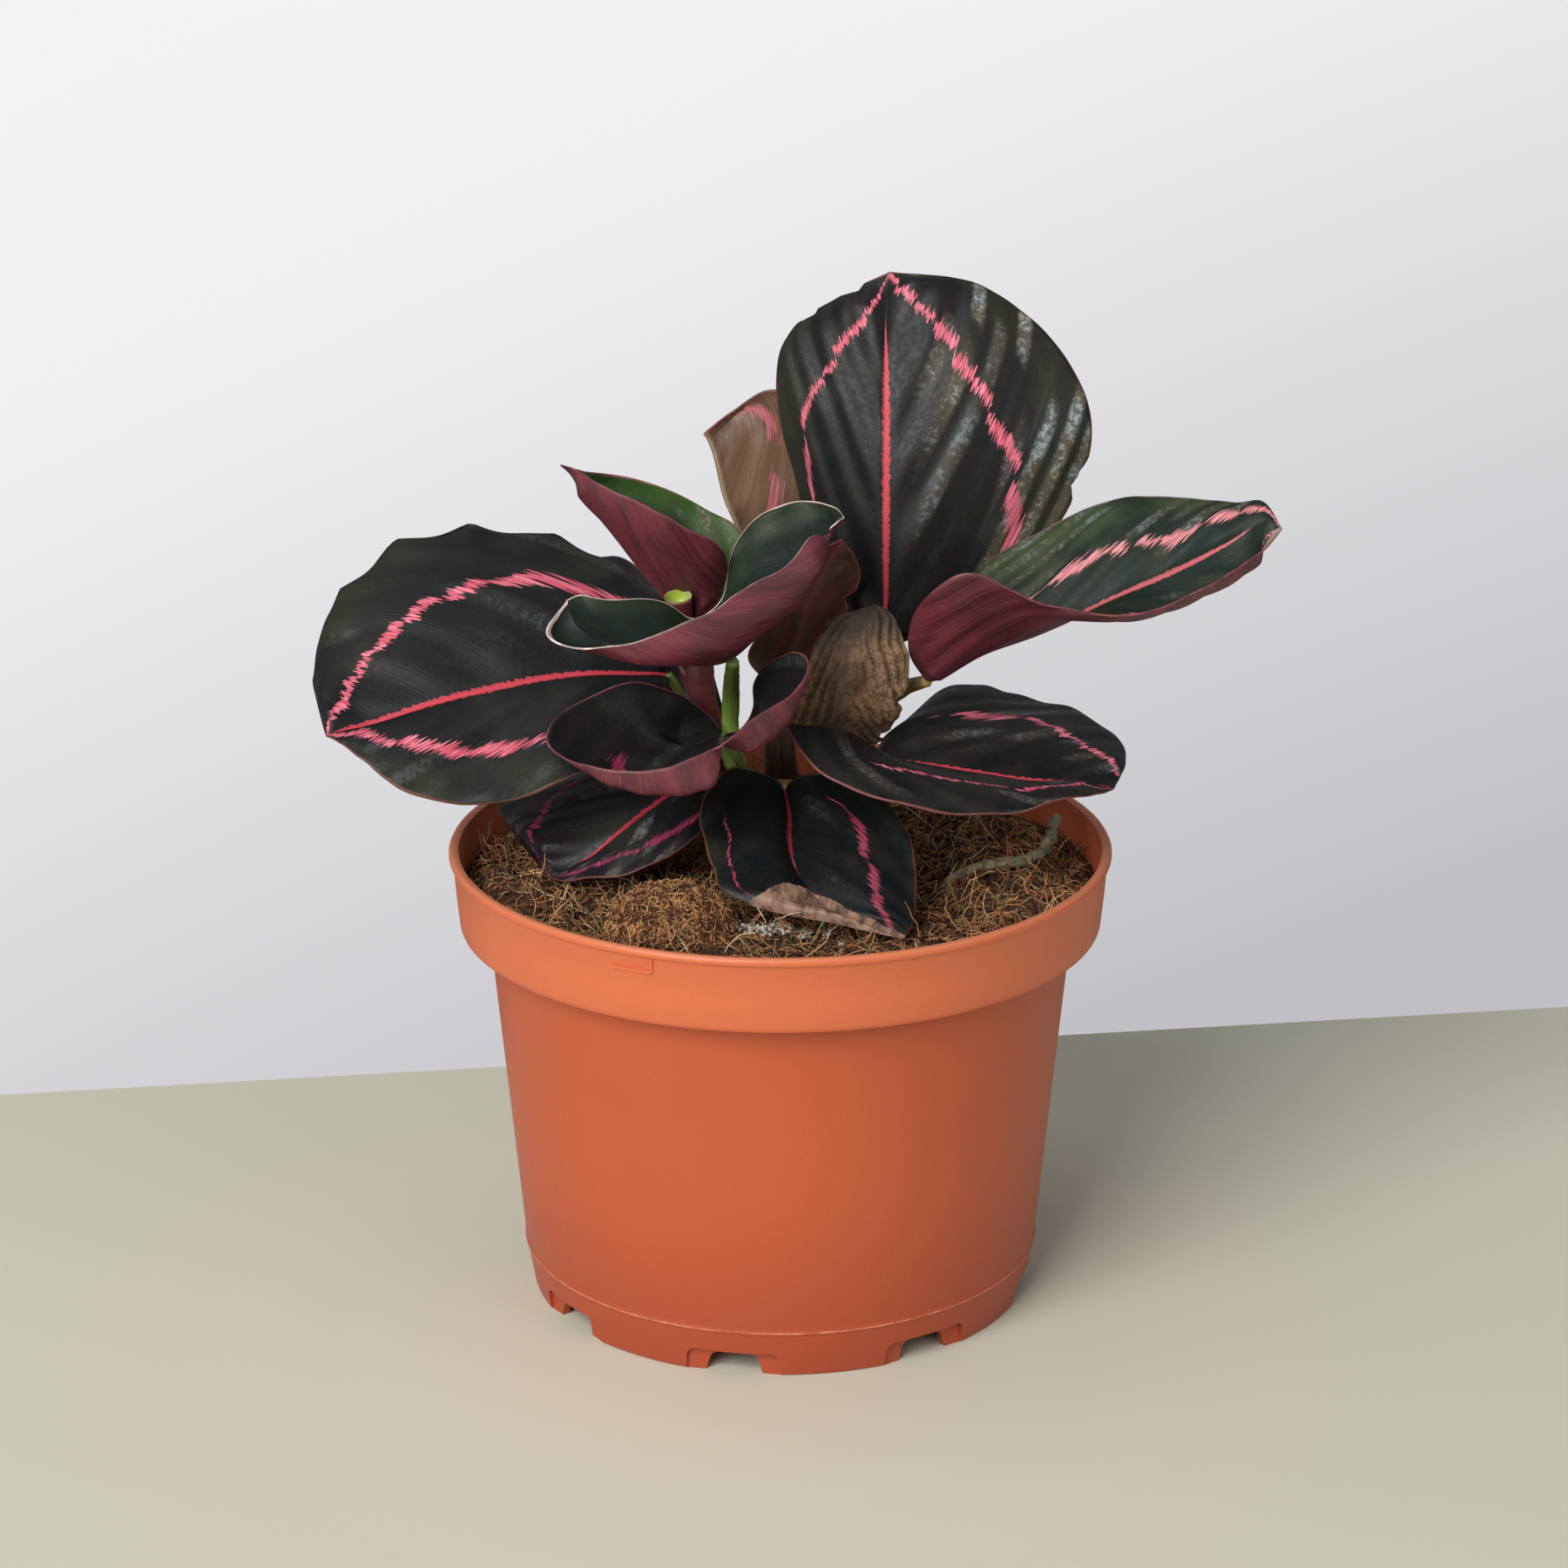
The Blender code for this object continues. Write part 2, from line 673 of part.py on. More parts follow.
# A new leaf is still rolled up in a narrow cone beside the young leaves.
roll_spread = STALK_DIAMETER / DRAWN_STALK
roll_points = ((-9.2, 2, 4), (-13.7, 2.4, 20), (-17.4, 2.4, 36), (-20.8, 1, 46), (-23.5, -4.5, 56), (-25.5, -10, 66))
tube(
    "new_leaf_roll",
    [
        grown(p, roll_spread + (GROWTH - roll_spread) * (k / (len(roll_points) - 1)) ** 2)
        for k, p in enumerate(roll_points)
    ],
    [GROWTH * radius for radius in (0.7, 0.9, 1.1, 1.4, 1.7, 2.2)],
    leaf_young,
)

# The origin is the middle of the whole plant's footprint, on the table.
bpy.context.view_layer.update()
graph = bpy.context.evaluated_depsgraph_get()
corners = []
pieces = [piece for piece in bpy.data.objects if not piece.hide_render]
for piece in pieces:
    solid = piece.evaluated_get(graph)
    for vertex in solid.to_mesh().vertices:
        corners.append((piece.matrix_world @ vertex.co).to_tuple())
    solid.to_mesh_clear()
middle = [(min(c[i] for c in corners) + max(c[i] for c in corners)) / 2 for i in (0, 1)]
for piece in pieces:
    piece.location.x -= middle[0]
    piece.location.y -= middle[1]
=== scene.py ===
import json
import math
import random

import bmesh
import bpy
from mathutils import Matrix, Vector, noise

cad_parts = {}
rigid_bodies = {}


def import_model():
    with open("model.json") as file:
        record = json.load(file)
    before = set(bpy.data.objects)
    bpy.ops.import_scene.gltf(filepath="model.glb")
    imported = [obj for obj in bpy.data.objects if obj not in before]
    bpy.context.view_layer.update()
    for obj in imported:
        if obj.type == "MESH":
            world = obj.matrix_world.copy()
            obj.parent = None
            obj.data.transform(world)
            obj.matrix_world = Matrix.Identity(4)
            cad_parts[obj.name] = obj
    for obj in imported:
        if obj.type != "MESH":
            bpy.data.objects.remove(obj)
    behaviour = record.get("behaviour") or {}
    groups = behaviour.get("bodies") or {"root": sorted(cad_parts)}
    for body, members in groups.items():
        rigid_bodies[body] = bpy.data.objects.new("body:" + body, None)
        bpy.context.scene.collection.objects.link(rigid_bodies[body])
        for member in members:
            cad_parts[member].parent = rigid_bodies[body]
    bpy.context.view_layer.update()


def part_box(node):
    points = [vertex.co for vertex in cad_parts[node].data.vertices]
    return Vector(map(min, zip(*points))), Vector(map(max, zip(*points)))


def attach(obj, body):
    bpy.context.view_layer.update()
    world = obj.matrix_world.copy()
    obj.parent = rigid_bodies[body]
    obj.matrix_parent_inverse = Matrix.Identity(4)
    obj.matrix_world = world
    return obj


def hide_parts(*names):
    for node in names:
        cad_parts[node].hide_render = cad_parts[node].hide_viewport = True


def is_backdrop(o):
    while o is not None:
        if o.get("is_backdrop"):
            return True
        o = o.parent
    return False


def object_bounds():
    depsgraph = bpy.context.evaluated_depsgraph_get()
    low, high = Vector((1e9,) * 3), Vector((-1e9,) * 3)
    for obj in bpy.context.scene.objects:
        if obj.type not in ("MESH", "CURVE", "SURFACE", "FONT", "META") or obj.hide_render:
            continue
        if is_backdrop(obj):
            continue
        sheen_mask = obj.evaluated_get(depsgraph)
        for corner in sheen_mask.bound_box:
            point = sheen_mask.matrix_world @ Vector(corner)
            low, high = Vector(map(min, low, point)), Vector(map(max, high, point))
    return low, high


for left_over in list(bpy.data.objects):
    bpy.data.objects.remove(left_over)
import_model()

# ---------------------------------------------------------------------------
# Table, camera and light. A pale sage table with its back edge a little askew,
# in front of a pale grey wall, under one big soft box and two weaker fills.
MM = 0.001
TABLE_TONE = (0.65, 0.64, 0.52)
WALL_TONES = ((0.095, (0.527, 0.521, 0.552)), (0.32, (0.865, 0.865, 0.89)), (0.4, (0.89, 0.89, 0.906)))
WALL_LIGHT = 0.26
TABLE_BACK = 0.134
TABLE_SKEW = math.radians(8.4)
TABLE_HALF = 2.0
CAMERA_BACK = 0.996
CAMERA_DOWN = math.radians(18.8)
CAMERA_AIM = (0.84 * MM, 0, 120.8 * MM)
LAMP_AIM = Vector((0, 0, 0.12))

pot_low, pot_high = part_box("pot")
pot_axis = Vector(((pot_low.x + pot_high.x) / 2, (pot_low.y + pot_high.y) / 2, pot_low.z))


class Field:
    """A number or colour that varies inside a finish, to write plain sums with."""

    def __init__(self, finish, socket):
        self.finish = finish
        self.socket = socket

    def __add__(self, other):
        return self.finish.sum("ADD", self, other)

    def __sub__(self, other):
        return self.finish.sum("SUBTRACT", self, other)

    def __mul__(self, other):
        return self.finish.sum("MULTIPLY", self, other)

    def __abs__(self):
        return self.finish.sum("ABSOLUTE", self)

    __radd__ = __add__
    __rmul__ = __mul__

    def rise(self, low, high, start=0.0, end=1.0):
        feeds = {"Value": self, "From Min": low, "From Max": high, "To Min": start, "To Max": end}
        return self.finish.put("MapRange", "Result", feeds, interpolation_type="SMOOTHSTEP")

    def parts(self, kind="SeparateXYZ"):
        made = self.finish.tree.nodes.new("ShaderNode" + kind)
        self.finish.feed(made.inputs[0], self)
        return [Field(self.finish, socket) for socket in made.outputs]


class Finish:
    """A material being put together: each method adds a node and gives its output."""

    def __init__(self, name, **sockets):
        self.material = bpy.data.materials.new(name)
        self.material.use_nodes = True
        self.tree = self.material.node_tree
        self.coat(**sockets)

    def feed(self, socket, value):
        if isinstance(value, Field):
            self.tree.links.new(value.socket, socket)
        elif socket.type == "RGBA" and len(value) == 3:
            socket.default_value = (*value, 1.0)
        else:
            socket.default_value = value

    def put(self, kind, output, feeds, **settings):
        made = self.tree.nodes.new("ShaderNode" + kind)
        for setting, value in settings.items():
            setattr(made, setting, value)
        for socket, value in feeds.items():
            self.feed(made.inputs[socket], value)
        return Field(self, made.outputs[output])

    def sum(self, operation, *values):
        return self.put("Math", 0, dict(enumerate(values)), operation=operation)

    def place(self, scale=(1, 1, 1)):
        spot = self.put("TexCoord", "Object", {})
        return self.put("Mapping", "Vector", {"Vector": spot, "Scale": scale})

    def grain(self, at, scale, detail=2.0, roughness=0.5):
        feeds = {"Vector": at, "Scale": scale, "Detail": detail, "Roughness": roughness}
        return self.put("TexNoise", 0, feeds)

    def mix(self, share, first, second):
        return self.put("Mix", 2, {0: share, 6: first, 7: second}, data_type="RGBA")

    def relief(self, height, depth, under=None):
        feeds = {"Height": height, "Distance": depth, "Strength": 1.0}
        if under is not None:
            feeds["Normal"] = under
        return self.put("Bump", "Normal", feeds)

    def coat(self, **sockets):
        shader = self.tree.nodes["Principled BSDF"]
        for socket, value in sockets.items():
            self.feed(shader.inputs[socket.replace("_", " ")], value)
        return self.material


def new_piece(name, bm, *materials):
    """The bmesh as an object that stands in the part's own frame."""
    mesh = bpy.data.meshes.new(name)
    bm.to_mesh(mesh)
    bm.free()
    for material in materials:
        mesh.materials.append(material)
    piece = bpy.data.objects.new(name, mesh)
    bpy.context.scene.collection.objects.link(piece)
    return piece


paper = Finish("table_paper", Roughness=0.75)
fibre = paper.grain(paper.place(), 900.0, 3.0)
paper.coat(Base_Color=TABLE_TONE, Normal=paper.relief(fibre, 0.02 * MM))
bm = bmesh.new()
bmesh.ops.create_grid(bm, x_segments=4, y_segments=4, size=TABLE_HALF)
bmesh.ops.translate(bm, vec=(0, -TABLE_HALF, 0), verts=bm.verts)
bmesh.ops.rotate(bm, cent=(0, 0, 0), matrix=Matrix.Rotation(TABLE_SKEW, 3, "Z"), verts=bm.verts)
bmesh.ops.translate(bm, vec=pot_axis + Vector((0, TABLE_BACK, -0.05 * MM)), verts=bm.verts)
table_top = new_piece("table_top", bm, paper.material)
table_top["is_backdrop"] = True

lens = bpy.data.cameras.new("camera")
lens.lens = 100.0
lens.sensor_width = 36.0
lens.clip_start = 0.05
camera = bpy.data.objects.new("camera", lens)
bpy.context.scene.collection.objects.link(camera)
camera.location = pot_axis + Vector(CAMERA_AIM)
camera.location += CAMERA_BACK * Vector((0, -math.cos(CAMERA_DOWN), math.sin(CAMERA_DOWN)))
camera.rotation_euler = (math.radians(90) - CAMERA_DOWN, 0, 0)
bpy.context.scene.camera = camera
bpy.context.scene.view_settings.view_transform = "Standard"

for name, spot, width, power, tone in (
    ("soft_box", (-1.05, -1.75, 1.4), 1.5, 63.0, (1.0, 0.99, 0.975)),
    ("right_fill", (1.2, -1.1, 0.7), 1.0, 4.0, (0.96, 0.98, 1.0)),
    ("top_fill", (-0.3, 0.1, 1.3), 0.6, 1.2, (1.0, 1.0, 1.0)),
):
    lamp = bpy.data.lights.new(name, "AREA")
    lamp.shape = "SQUARE"
    lamp.size = width
    lamp.energy = power
    lamp.color = tone
    lamp_piece = bpy.data.objects.new(name, lamp)
    bpy.context.scene.collection.objects.link(lamp_piece)
    lamp_piece.location = spot
    aim = LAMP_AIM - Vector(spot)
    lamp_piece.rotation_euler = aim.to_track_quat("-Z", "Y").to_euler()

world = bpy.data.worlds.new("studio")
bpy.context.scene.world = world
world.use_nodes = True
backdrop = world.node_tree.nodes["Background"]
link = world.node_tree.links.new
node = world.node_tree.nodes.new
# The wall is the world's background with painted shade: darker towards the bottom right, and brighter to the
# camera than in the light it gives the scene.
slope = node("ShaderNodeVectorMath")
slope.operation = "DOT_PRODUCT"
slope.inputs[1].default_value = (-0.4, 0.0, 1.0)
link(node("ShaderNodeTexCoord").outputs["Generated"], slope.inputs[0])
lifted = node("ShaderNodeMath")
lifted.inputs[1].default_value = 0.5
link(slope.outputs["Value"], lifted.inputs[0])
wall = node("ShaderNodeValToRGB")
wall.color_ramp.elements.new(0.5)
for stop, (position, tone) in zip(wall.color_ramp.elements, WALL_TONES):
    stop.position = position
    stop.color = (*tone, 1.0)
link(lifted.outputs[0], wall.inputs[0])
link(wall.outputs[0], backdrop.inputs["Color"])
strength = node("ShaderNodeMapRange")
strength.inputs["To Min"].default_value = WALL_LIGHT
strength.inputs["To Max"].default_value = 1.0
link(node("ShaderNodeLightPath").outputs["Is Camera Ray"], strength.inputs["Value"])
link(strength.outputs[0], backdrop.inputs["Strength"])

# ---------------------------------------------------------------------------
# Nursery pot. One thin injection-moulded shell of orange plastic: a tapered
# body, a deep rim band with a rolled lip, a flash line and a notched foot.
POT_RADIUS = (pot_high.x - pot_low.x) / 2 / MM
POT_HEIGHT = (pot_high.z - pot_low.z) / MM
WALL = 1.5
BAND_BASE = POT_HEIGHT - 17.8
LIP_BASE = POT_HEIGHT - 1.9
BAND_TOP = POT_RADIUS - 0.9
BAND_BOTTOM = BAND_TOP - 1.3
BODY_TOP = BAND_BOTTOM - 6.5
SEAM_RADIUS = BODY_TOP - 7.3
SEAM_LEVEL = 11.3
FOOT_RADIUS = SEAM_RADIUS - 1.8
FOOT_INSIDE = FOOT_RADIUS - 3.0
POT_FLOOR = 4.5
NOTCH_TURN = 34.5
NOTCH_SIZE = (9.0, 13.0, 8.8)
RECESS_SIZE = (6.0, 21.5, 11.4)
RECESS_DEPTH = 1.5
NOTCHES = 8
HOLE_RADIUS = 4.5
POT_TURNS = 192
TERRACOTTA = (0.525, 0.098, 0.031)
TERRACOTTA_SHADED_FOOT = (0.385, 0.06, 0.019)
TERRACOTTA_DEEP = (0.46, 0.078, 0.023)
TERRACOTTA_LIT_BAND = (0.69, 0.165, 0.064)
FLASH_AND_HIGHLIGHT_TONE = (0.62, 0.2, 0.095)

plastic = Finish("terracotta_plastic", Roughness=0.46)
spot = plastic.place()
cloudy = plastic.grain(spot, 28.0, 3.0)
tone = plastic.mix(cloudy.rise(0.25, 0.75, 0.4, 0.7), TERRACOTTA_DEEP, TERRACOTTA)
level = spot.parts()[2]
# Painted shade: the body gets darker towards its foot.
tone = plastic.mix(level.rise(0.0, 50 * MM, 1.0, 0.0), tone, TERRACOTTA_SHADED_FOOT)
# Painted light: the rim band is paler than the body, as if it caught more light.
band_light_mask = level.rise((BAND_BASE - 0.4) * MM, (BAND_BASE + 1.5) * MM)
tone = plastic.mix(0.75 * band_light_mask, tone, TERRACOTTA_LIT_BAND)
# Painted highlight: a thin pale line along the top of the rim, in the flash line's tone.
rim_highlight = level.rise((POT_HEIGHT - 0.7) * MM, (POT_HEIGHT - 0.2) * MM, 0.0, 0.8)
tone = plastic.mix(rim_highlight, tone, FLASH_AND_HIGHLIGHT_TONE)
off_seam = abs(level - SEAM_LEVEL * MM)
ragged = plastic.grain(spot, 260.0, 4.0, 0.7) * (0.75 * MM)
flash = (ragged - off_seam).rise(0.2 * MM, 0.28 * MM)
leathery = plastic.grain(spot, 850.0, 4.0, 0.6)
scuffs = plastic.grain(plastic.place((1, 1, 5)), 60.0, 4.0, 0.65).rise(0.62, 0.8)
plastic.coat(
    Base_Color=plastic.mix(flash, tone, FLASH_AND_HIGHLIGHT_TONE),
    Roughness=0.43 + 0.1 * scuffs, Normal=plastic.relief(leathery, 0.1 * MM),
)


def wall_points(*heights):
    """(radius, height) points on the outside of the wall between the foot and the band."""
    points = []
    for height in heights:
        if height < SEAM_LEVEL:
            radius = FOOT_RADIUS + (SEAM_RADIUS - FOOT_RADIUS) * height / SEAM_LEVEL
        else:
            radius = SEAM_RADIUS + (BODY_TOP - SEAM_RADIUS) * (height - SEAM_LEVEL) / (BAND_BASE - SEAM_LEVEL)
        points.append((radius, height))
    return points


def turned(profile, turns):
    """A shape turned round the pot's axis from (radius, height) points in mm."""
    bm = bmesh.new()
    line = [bm.verts.new((radius * MM, 0, height * MM)) for radius, height in profile]
    edges = [bm.edges.new(pair) for pair in zip(line, line[1:])]
    bmesh.ops.spin(
        bm, geom=line + edges, cent=(0, 0, 0), axis=(0, 0, 1), angle=math.tau, steps=turns, use_merge=True
    )
    bmesh.ops.remove_doubles(bm, verts=bm.verts, dist=0.002 * MM)
    bmesh.ops.recalc_face_normals(bm, faces=bm.faces)
    return bm


def settle(piece, slot, *nodes):
    """The piece belongs to the pot's body and stands for the nodes; slot is not used."""
    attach(piece, "root")
    if nodes:
        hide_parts(*nodes)


outside = [
    (FOOT_INSIDE + 0.4, 0), (FOOT_RADIUS - 0.6, 0), (FOOT_RADIUS - 0.15, 0.2), (FOOT_RADIUS + 0.05, 0.7),
    *wall_points(SEAM_LEVEL - 1.1, SEAM_LEVEL - 0.6), (SEAM_RADIUS + 0.3, SEAM_LEVEL - 0.2),
    (SEAM_RADIUS + 0.3, SEAM_LEVEL + 0.1),
    *wall_points(SEAM_LEVEL + 0.5, SEAM_LEVEL + 1.1, 40, 70, BAND_BASE - 1.6), (BODY_TOP, BAND_BASE - 0.3),
    (BODY_TOP + 0.4, BAND_BASE), (BAND_BOTTOM - 0.5, BAND_BASE), (BAND_BOTTOM - 0.15, BAND_BASE + 0.12),
    (BAND_BOTTOM, BAND_BASE + 0.5), (BAND_BOTTOM + 0.65, BAND_BASE + 7), (BAND_TOP, LIP_BASE - 0.3),
    (BAND_TOP + 0.2, LIP_BASE), (POT_RADIUS - 0.25, LIP_BASE + 0.15), (POT_RADIUS, LIP_BASE + 0.6),
    (POT_RADIUS, POT_HEIGHT - 0.8), (POT_RADIUS - 0.3, POT_HEIGHT - 0.2), (POT_RADIUS - 0.8, POT_HEIGHT),
]
inside = [
    (BAND_TOP - WALL + 0.9, POT_HEIGHT), (BAND_TOP - WALL + 0.2, POT_HEIGHT - 0.3),
    (BAND_TOP - WALL, POT_HEIGHT - 1), (BAND_BOTTOM - WALL, BAND_BASE + WALL + 1.2),
    (BAND_BOTTOM - WALL - 1, BAND_BASE + WALL), (BODY_TOP, BAND_BASE + WALL), (BODY_TOP - WALL, BAND_BASE),
    (SEAM_RADIUS - WALL, SEAM_LEVEL), (FOOT_INSIDE, POT_FLOOR + WALL), (0, POT_FLOOR + WALL),
]
below = [(0, POT_FLOOR), (FOOT_INSIDE - 1, POT_FLOOR), (FOOT_INSIDE, POT_FLOOR - 1), (FOOT_INSIDE, 0.4)]
shell = turned(below + outside + inside, POT_TURNS)
# The flash line is a thin ragged edge, higher in some places than in others.
for vertex in shell.verts:
    if abs(vertex.co.z - SEAM_LEVEL * MM) < 0.3 * MM and vertex.co.xy.length > SEAM_RADIUS * MM:
        vertex.co.xy *= 1 + 0.002 * noise.noise(vertex.co * 160)
bmesh.ops.translate(shell, vec=pot_axis, verts=shell.verts)
pot_shell = new_piece("pot_shell", shell, plastic.material)

# Eight notches are cut through the foot, each in a shallow recess and rounded at
# its upper corners, with a drain hole through the floor inside it.
cutters = bmesh.new()


def cut_block(turn, size, rounding, reach, flare=0.0):
    """A block to cut the foot with: size and reach from the axis in mm, wider downwards by flare."""
    block = bmesh.ops.create_cube(cutters, size=1.0)["verts"]
    bmesh.ops.scale(cutters, vec=Vector(size) * MM, verts=block)
    corners = [e for e in cutters.edges if e.verts[0] in block and e.verts[0].co.z > 0 < e.verts[1].co.z]
    corners = [e for e in corners if abs(e.verts[0].co.x - e.verts[1].co.x) > MM]
    rounded = bmesh.ops.bevel(
        cutters, geom=corners, offset=rounding * MM, affect="EDGES", segments=5, profile=0.5, material=-1
    )
    block = list({v for v in block if v.is_valid} | set(rounded["verts"]))
    for vertex in block:
        vertex.co.y *= 1.0 - flare * vertex.co.z / MM
    bmesh.ops.transform(cutters, matrix=turn @ Matrix.Translation((reach * MM, 0, 0)), verts=block)


for k in range(NOTCHES):
    angle = math.radians(NOTCH_TURN + 360 / NOTCHES * k)
    turn = Matrix.Translation(pot_axis) @ Matrix.Rotation(angle, 4, "Z")
    cut_block(turn, NOTCH_SIZE, 1.6, FOOT_INSIDE + 1.5, 0.045)
    cut_block(turn, RECESS_SIZE, 2.2, FOOT_RADIUS - RECESS_DEPTH + 0.5 * RECESS_SIZE[0])
    hole = turn @ Matrix.Translation(((FOOT_INSIDE - 2 * HOLE_RADIUS) * MM, 0, (POT_FLOOR + WALL / 2) * MM))
    bmesh.ops.create_cone(
        cutters, cap_ends=True, segments=32, radius1=HOLE_RADIUS * MM, radius2=HOLE_RADIUS * MM,
        depth=9 * MM, matrix=hole,
    )
cutter = new_piece("drain_cutters", cutters)
cut = pot_shell.modifiers.new("drains", "BOOLEAN")
cut.object = cutter
cut.use_self = True
graph = bpy.context.evaluated_depsgraph_get()
pot_shell.data = bpy.data.meshes.new_from_object(pot_shell.evaluated_get(graph))
pot_shell.modifiers.clear()
bpy.data.objects.remove(cutter)
pot_shell.data.shade_smooth()
pot_shell.data.set_sharp_from_angle(angle=math.radians(42))
settle(pot_shell, "terracotta_plastic", "pot")

# A mould mark on the band: one thin raised line that turns up to the lip.
MARK_TURN = (-28.9, -21.4)
MARK_LEVEL = (LIP_BASE - 3.8, LIP_BASE)
bm = bmesh.new()
for first, last, low, high in (
    (*MARK_TURN, MARK_LEVEL[0], MARK_LEVEL[0] + 0.8), (MARK_TURN[1] - 0.4, MARK_TURN[1], *MARK_LEVEL),
):
    strip = bmesh.ops.create_grid(bm, x_segments=24, y_segments=8, size=1.0)["verts"]
    for vertex in strip:
        angle = math.radians(first + (last - first) * (vertex.co.x + 1) / 2 - 90)
        height = low + (high - low) * (vertex.co.y + 1) / 2
        edge = max(abs(vertex.co.x), abs(vertex.co.y))
        radius = BAND_BOTTOM + (BAND_TOP - BAND_BOTTOM) * (height - BAND_BASE) / (LIP_BASE - BAND_BASE)
        radius += 0.5 if edge < 0.99 else -0.3
        vertex.co = (radius * MM * math.cos(angle), radius * MM * math.sin(angle), height * MM)
bmesh.ops.recalc_face_normals(bm, faces=bm.faces)
bmesh.ops.translate(bm, vec=pot_axis, verts=bm.verts)
mould_mark = new_piece("mould_mark", bm, plastic.material)
thick = mould_mark.modifiers.new("thickness", "SOLIDIFY")
thick.thickness = 0.6 * MM
thick.offset = -1.0
settle(mould_mark, "terracotta_plastic")

# ---------------------------------------------------------------------------
# Potting mix. Peat and bark fines with a felt of brown and tan fibres on top,
# filled into the pot to 8 mm under the rim, with white crumbs at the front.
MIX_LEVEL = POT_HEIGHT - 8.0
MIX_RADIUS = BAND_BOTTOM - WALL + 0.5
PEAT_CRUMBS = 420
WHITE_CRUMBS = 380
PEAT_DARK = (0.014, 0.007, 0.004)
PEAT_LIGHT = (0.2, 0.085, 0.033)
FIBRE_TONES = (
    ("dark_roots", (0.085, 0.034, 0.015), 1100, 0.2, 0.9),
    ("brown_fibres", (0.46, 0.175, 0.06), 2000, 0.17, 0.8),
    ("tan_fibres", (0.78, 0.43, 0.185), 1300, 0.14, 0.9),
    ("moss_fibres", (0.3, 0.26, 0.1), 700, 0.17, 0.7), ("pale_roots", (0.9, 0.66, 0.42), 110, 0.17, 1.9),
)
random.seed(11)
noise.seed_set(11)


def mix_height(x, y):
    """Height of the mix in mm at a place given in mm from the pot's axis."""
    wide = noise.noise(Vector((x, y, 3.0)) / 21)
    lumps = noise.noise(Vector((x, y, 9.0)) / 6.5)
    near_wall = min(1.0, max(0.0, (MIX_RADIUS - math.hypot(x, y)) / 7))
    heap = 3.0 * math.exp(-((x + 58) ** 2 + (y + 12) ** 2) / 160)
    heap += 2.5 * math.exp(-((x - 48) ** 2 + (y + 8) ** 2) / 300)
    return MIX_LEVEL + near_wall * (1.8 * wide + 2.1 * lumps + heap) - 1.6 * (1 - near_wall)


def dim(tone, share):
    """The same hue, darker or lighter."""
    return tuple(share * part for part in tone)


def earthy(name, dark, light, scale):
    """A dry matt finish, mottled between two tones."""
    earth = Finish(name, Roughness=0.95)
    mottle = earth.grain(earth.place(), scale, 5.0, 0.7).rise(0.34, 0.68)
    fine = earth.grain(earth.place(), 3.1 * scale, 4.0, 0.7)
    earth.coat(Base_Color=earth.mix(mottle, dark, light), Normal=earth.relief(fine, 0.6 * MM))
    return earth.material


bm = turned(
    [(0, POT_FLOOR + WALL + 0.3), (FOOT_INSIDE - 1, POT_FLOOR + WALL + 0.3)]
    + [(SEAM_RADIUS - WALL - 0.4, SEAM_LEVEL + 0.4), (BODY_TOP - WALL - 0.4, BAND_BASE)]
    + [(BODY_TOP - WALL - 0.4, BAND_BASE + WALL + 0.4), (MIX_RADIUS - 1, BAND_BASE + WALL + 0.4)]
    + [(MIX_RADIUS * share / 80, MIX_LEVEL) for share in range(80, -1, -1)], 260,
)
for vertex in bm.verts:
    if vertex.co.z > (MIX_LEVEL - 0.1) * MM:
        x, y = vertex.co.x / MM, vertex.co.y / MM
        crumbs = noise.fractal(Vector((x, y, 0)) / 1.9, 0.8, 2.1, 3)
        vertex.co.z = (mix_height(x, y) + 0.9 * crumbs) * MM
bmesh.ops.translate(bm, vec=pot_axis, verts=bm.verts)
mix_bed = new_piece("mix_bed", bm, earthy("potting_peat", PEAT_DARK, PEAT_LIGHT, 420.0))
mix_bed.data.shade_smooth()
settle(mix_bed, "potting_mix", "potting_mix")


def on_mix(inner, outer):
    """A random place on the mix in mm from the pot's axis."""
    radius = math.sqrt(random.uniform(inner**2, outer**2))
    angle = random.uniform(0, math.tau)
    return radius * math.cos(angle), radius * math.sin(angle)


def strand_set(name, slot, dark, light, scale, thickness):
    """An empty set of strands: each is one spline of a curve with a round section."""
    strands = bpy.data.curves.new(name, "CURVE")
    strands.dimensions = "3D"
    strands.bevel_depth = 1.0
    strands.bevel_resolution = 0
    strands.use_fill_caps = True
    strands.materials.append(earthy(name, dark, light, scale))
    piece = bpy.data.objects.new(name, strands)
    piece["thickness"] = thickness
    bpy.context.scene.collection.objects.link(piece)
    settle(piece, slot)
    return piece


def add_strand(piece, points):
    """One strand through points in mm from the pot's axis, thinner towards its ends."""
    line = piece.data.splines.new("POLY")
    line.points.add(len(points) - 1)
    for k, (knot, point) in enumerate(zip(line.points, points)):
        knot.co = (*(pot_axis + Vector(point) * MM), 1.0)
        full = 0.45 + 0.55 * math.sin(math.pi * (k + 0.5) / len(points))
        knot.radius = piece["thickness"] * MM * full


for name, tone, count, thickness, long in FIBRE_TONES:
    piece = strand_set(name, "potting_mix", dim(tone, 0.45), tone, 160.0, thickness)
    for _ in range(count):
        x, y = on_mix(12, MIX_RADIUS - 1.5)
        heading = random.uniform(0, math.tau)
        bend = random.gauss(0, 0.45)
        reach = long * random.uniform(0.9, 2.6)
        lift = random.choice((0.1, 0.5, 1.0, 1.8)) * random.random()
        points = []
        for k in range(6):
            if math.hypot(x, y) < MIX_RADIUS - 0.8:
                arch = lift * k * (1 if lift > 0.9 else 1.4 - 0.28 * k)
                points.append((x, y, mix_height(x, y) + 0.5 + arch + random.uniform(-0.3, 0.6)))
            heading += bend + random.gauss(0, 0.6)
            x += reach * math.cos(heading)
            y += reach * math.sin(heading)
        if len(points) > 2:
            add_strand(piece, points)

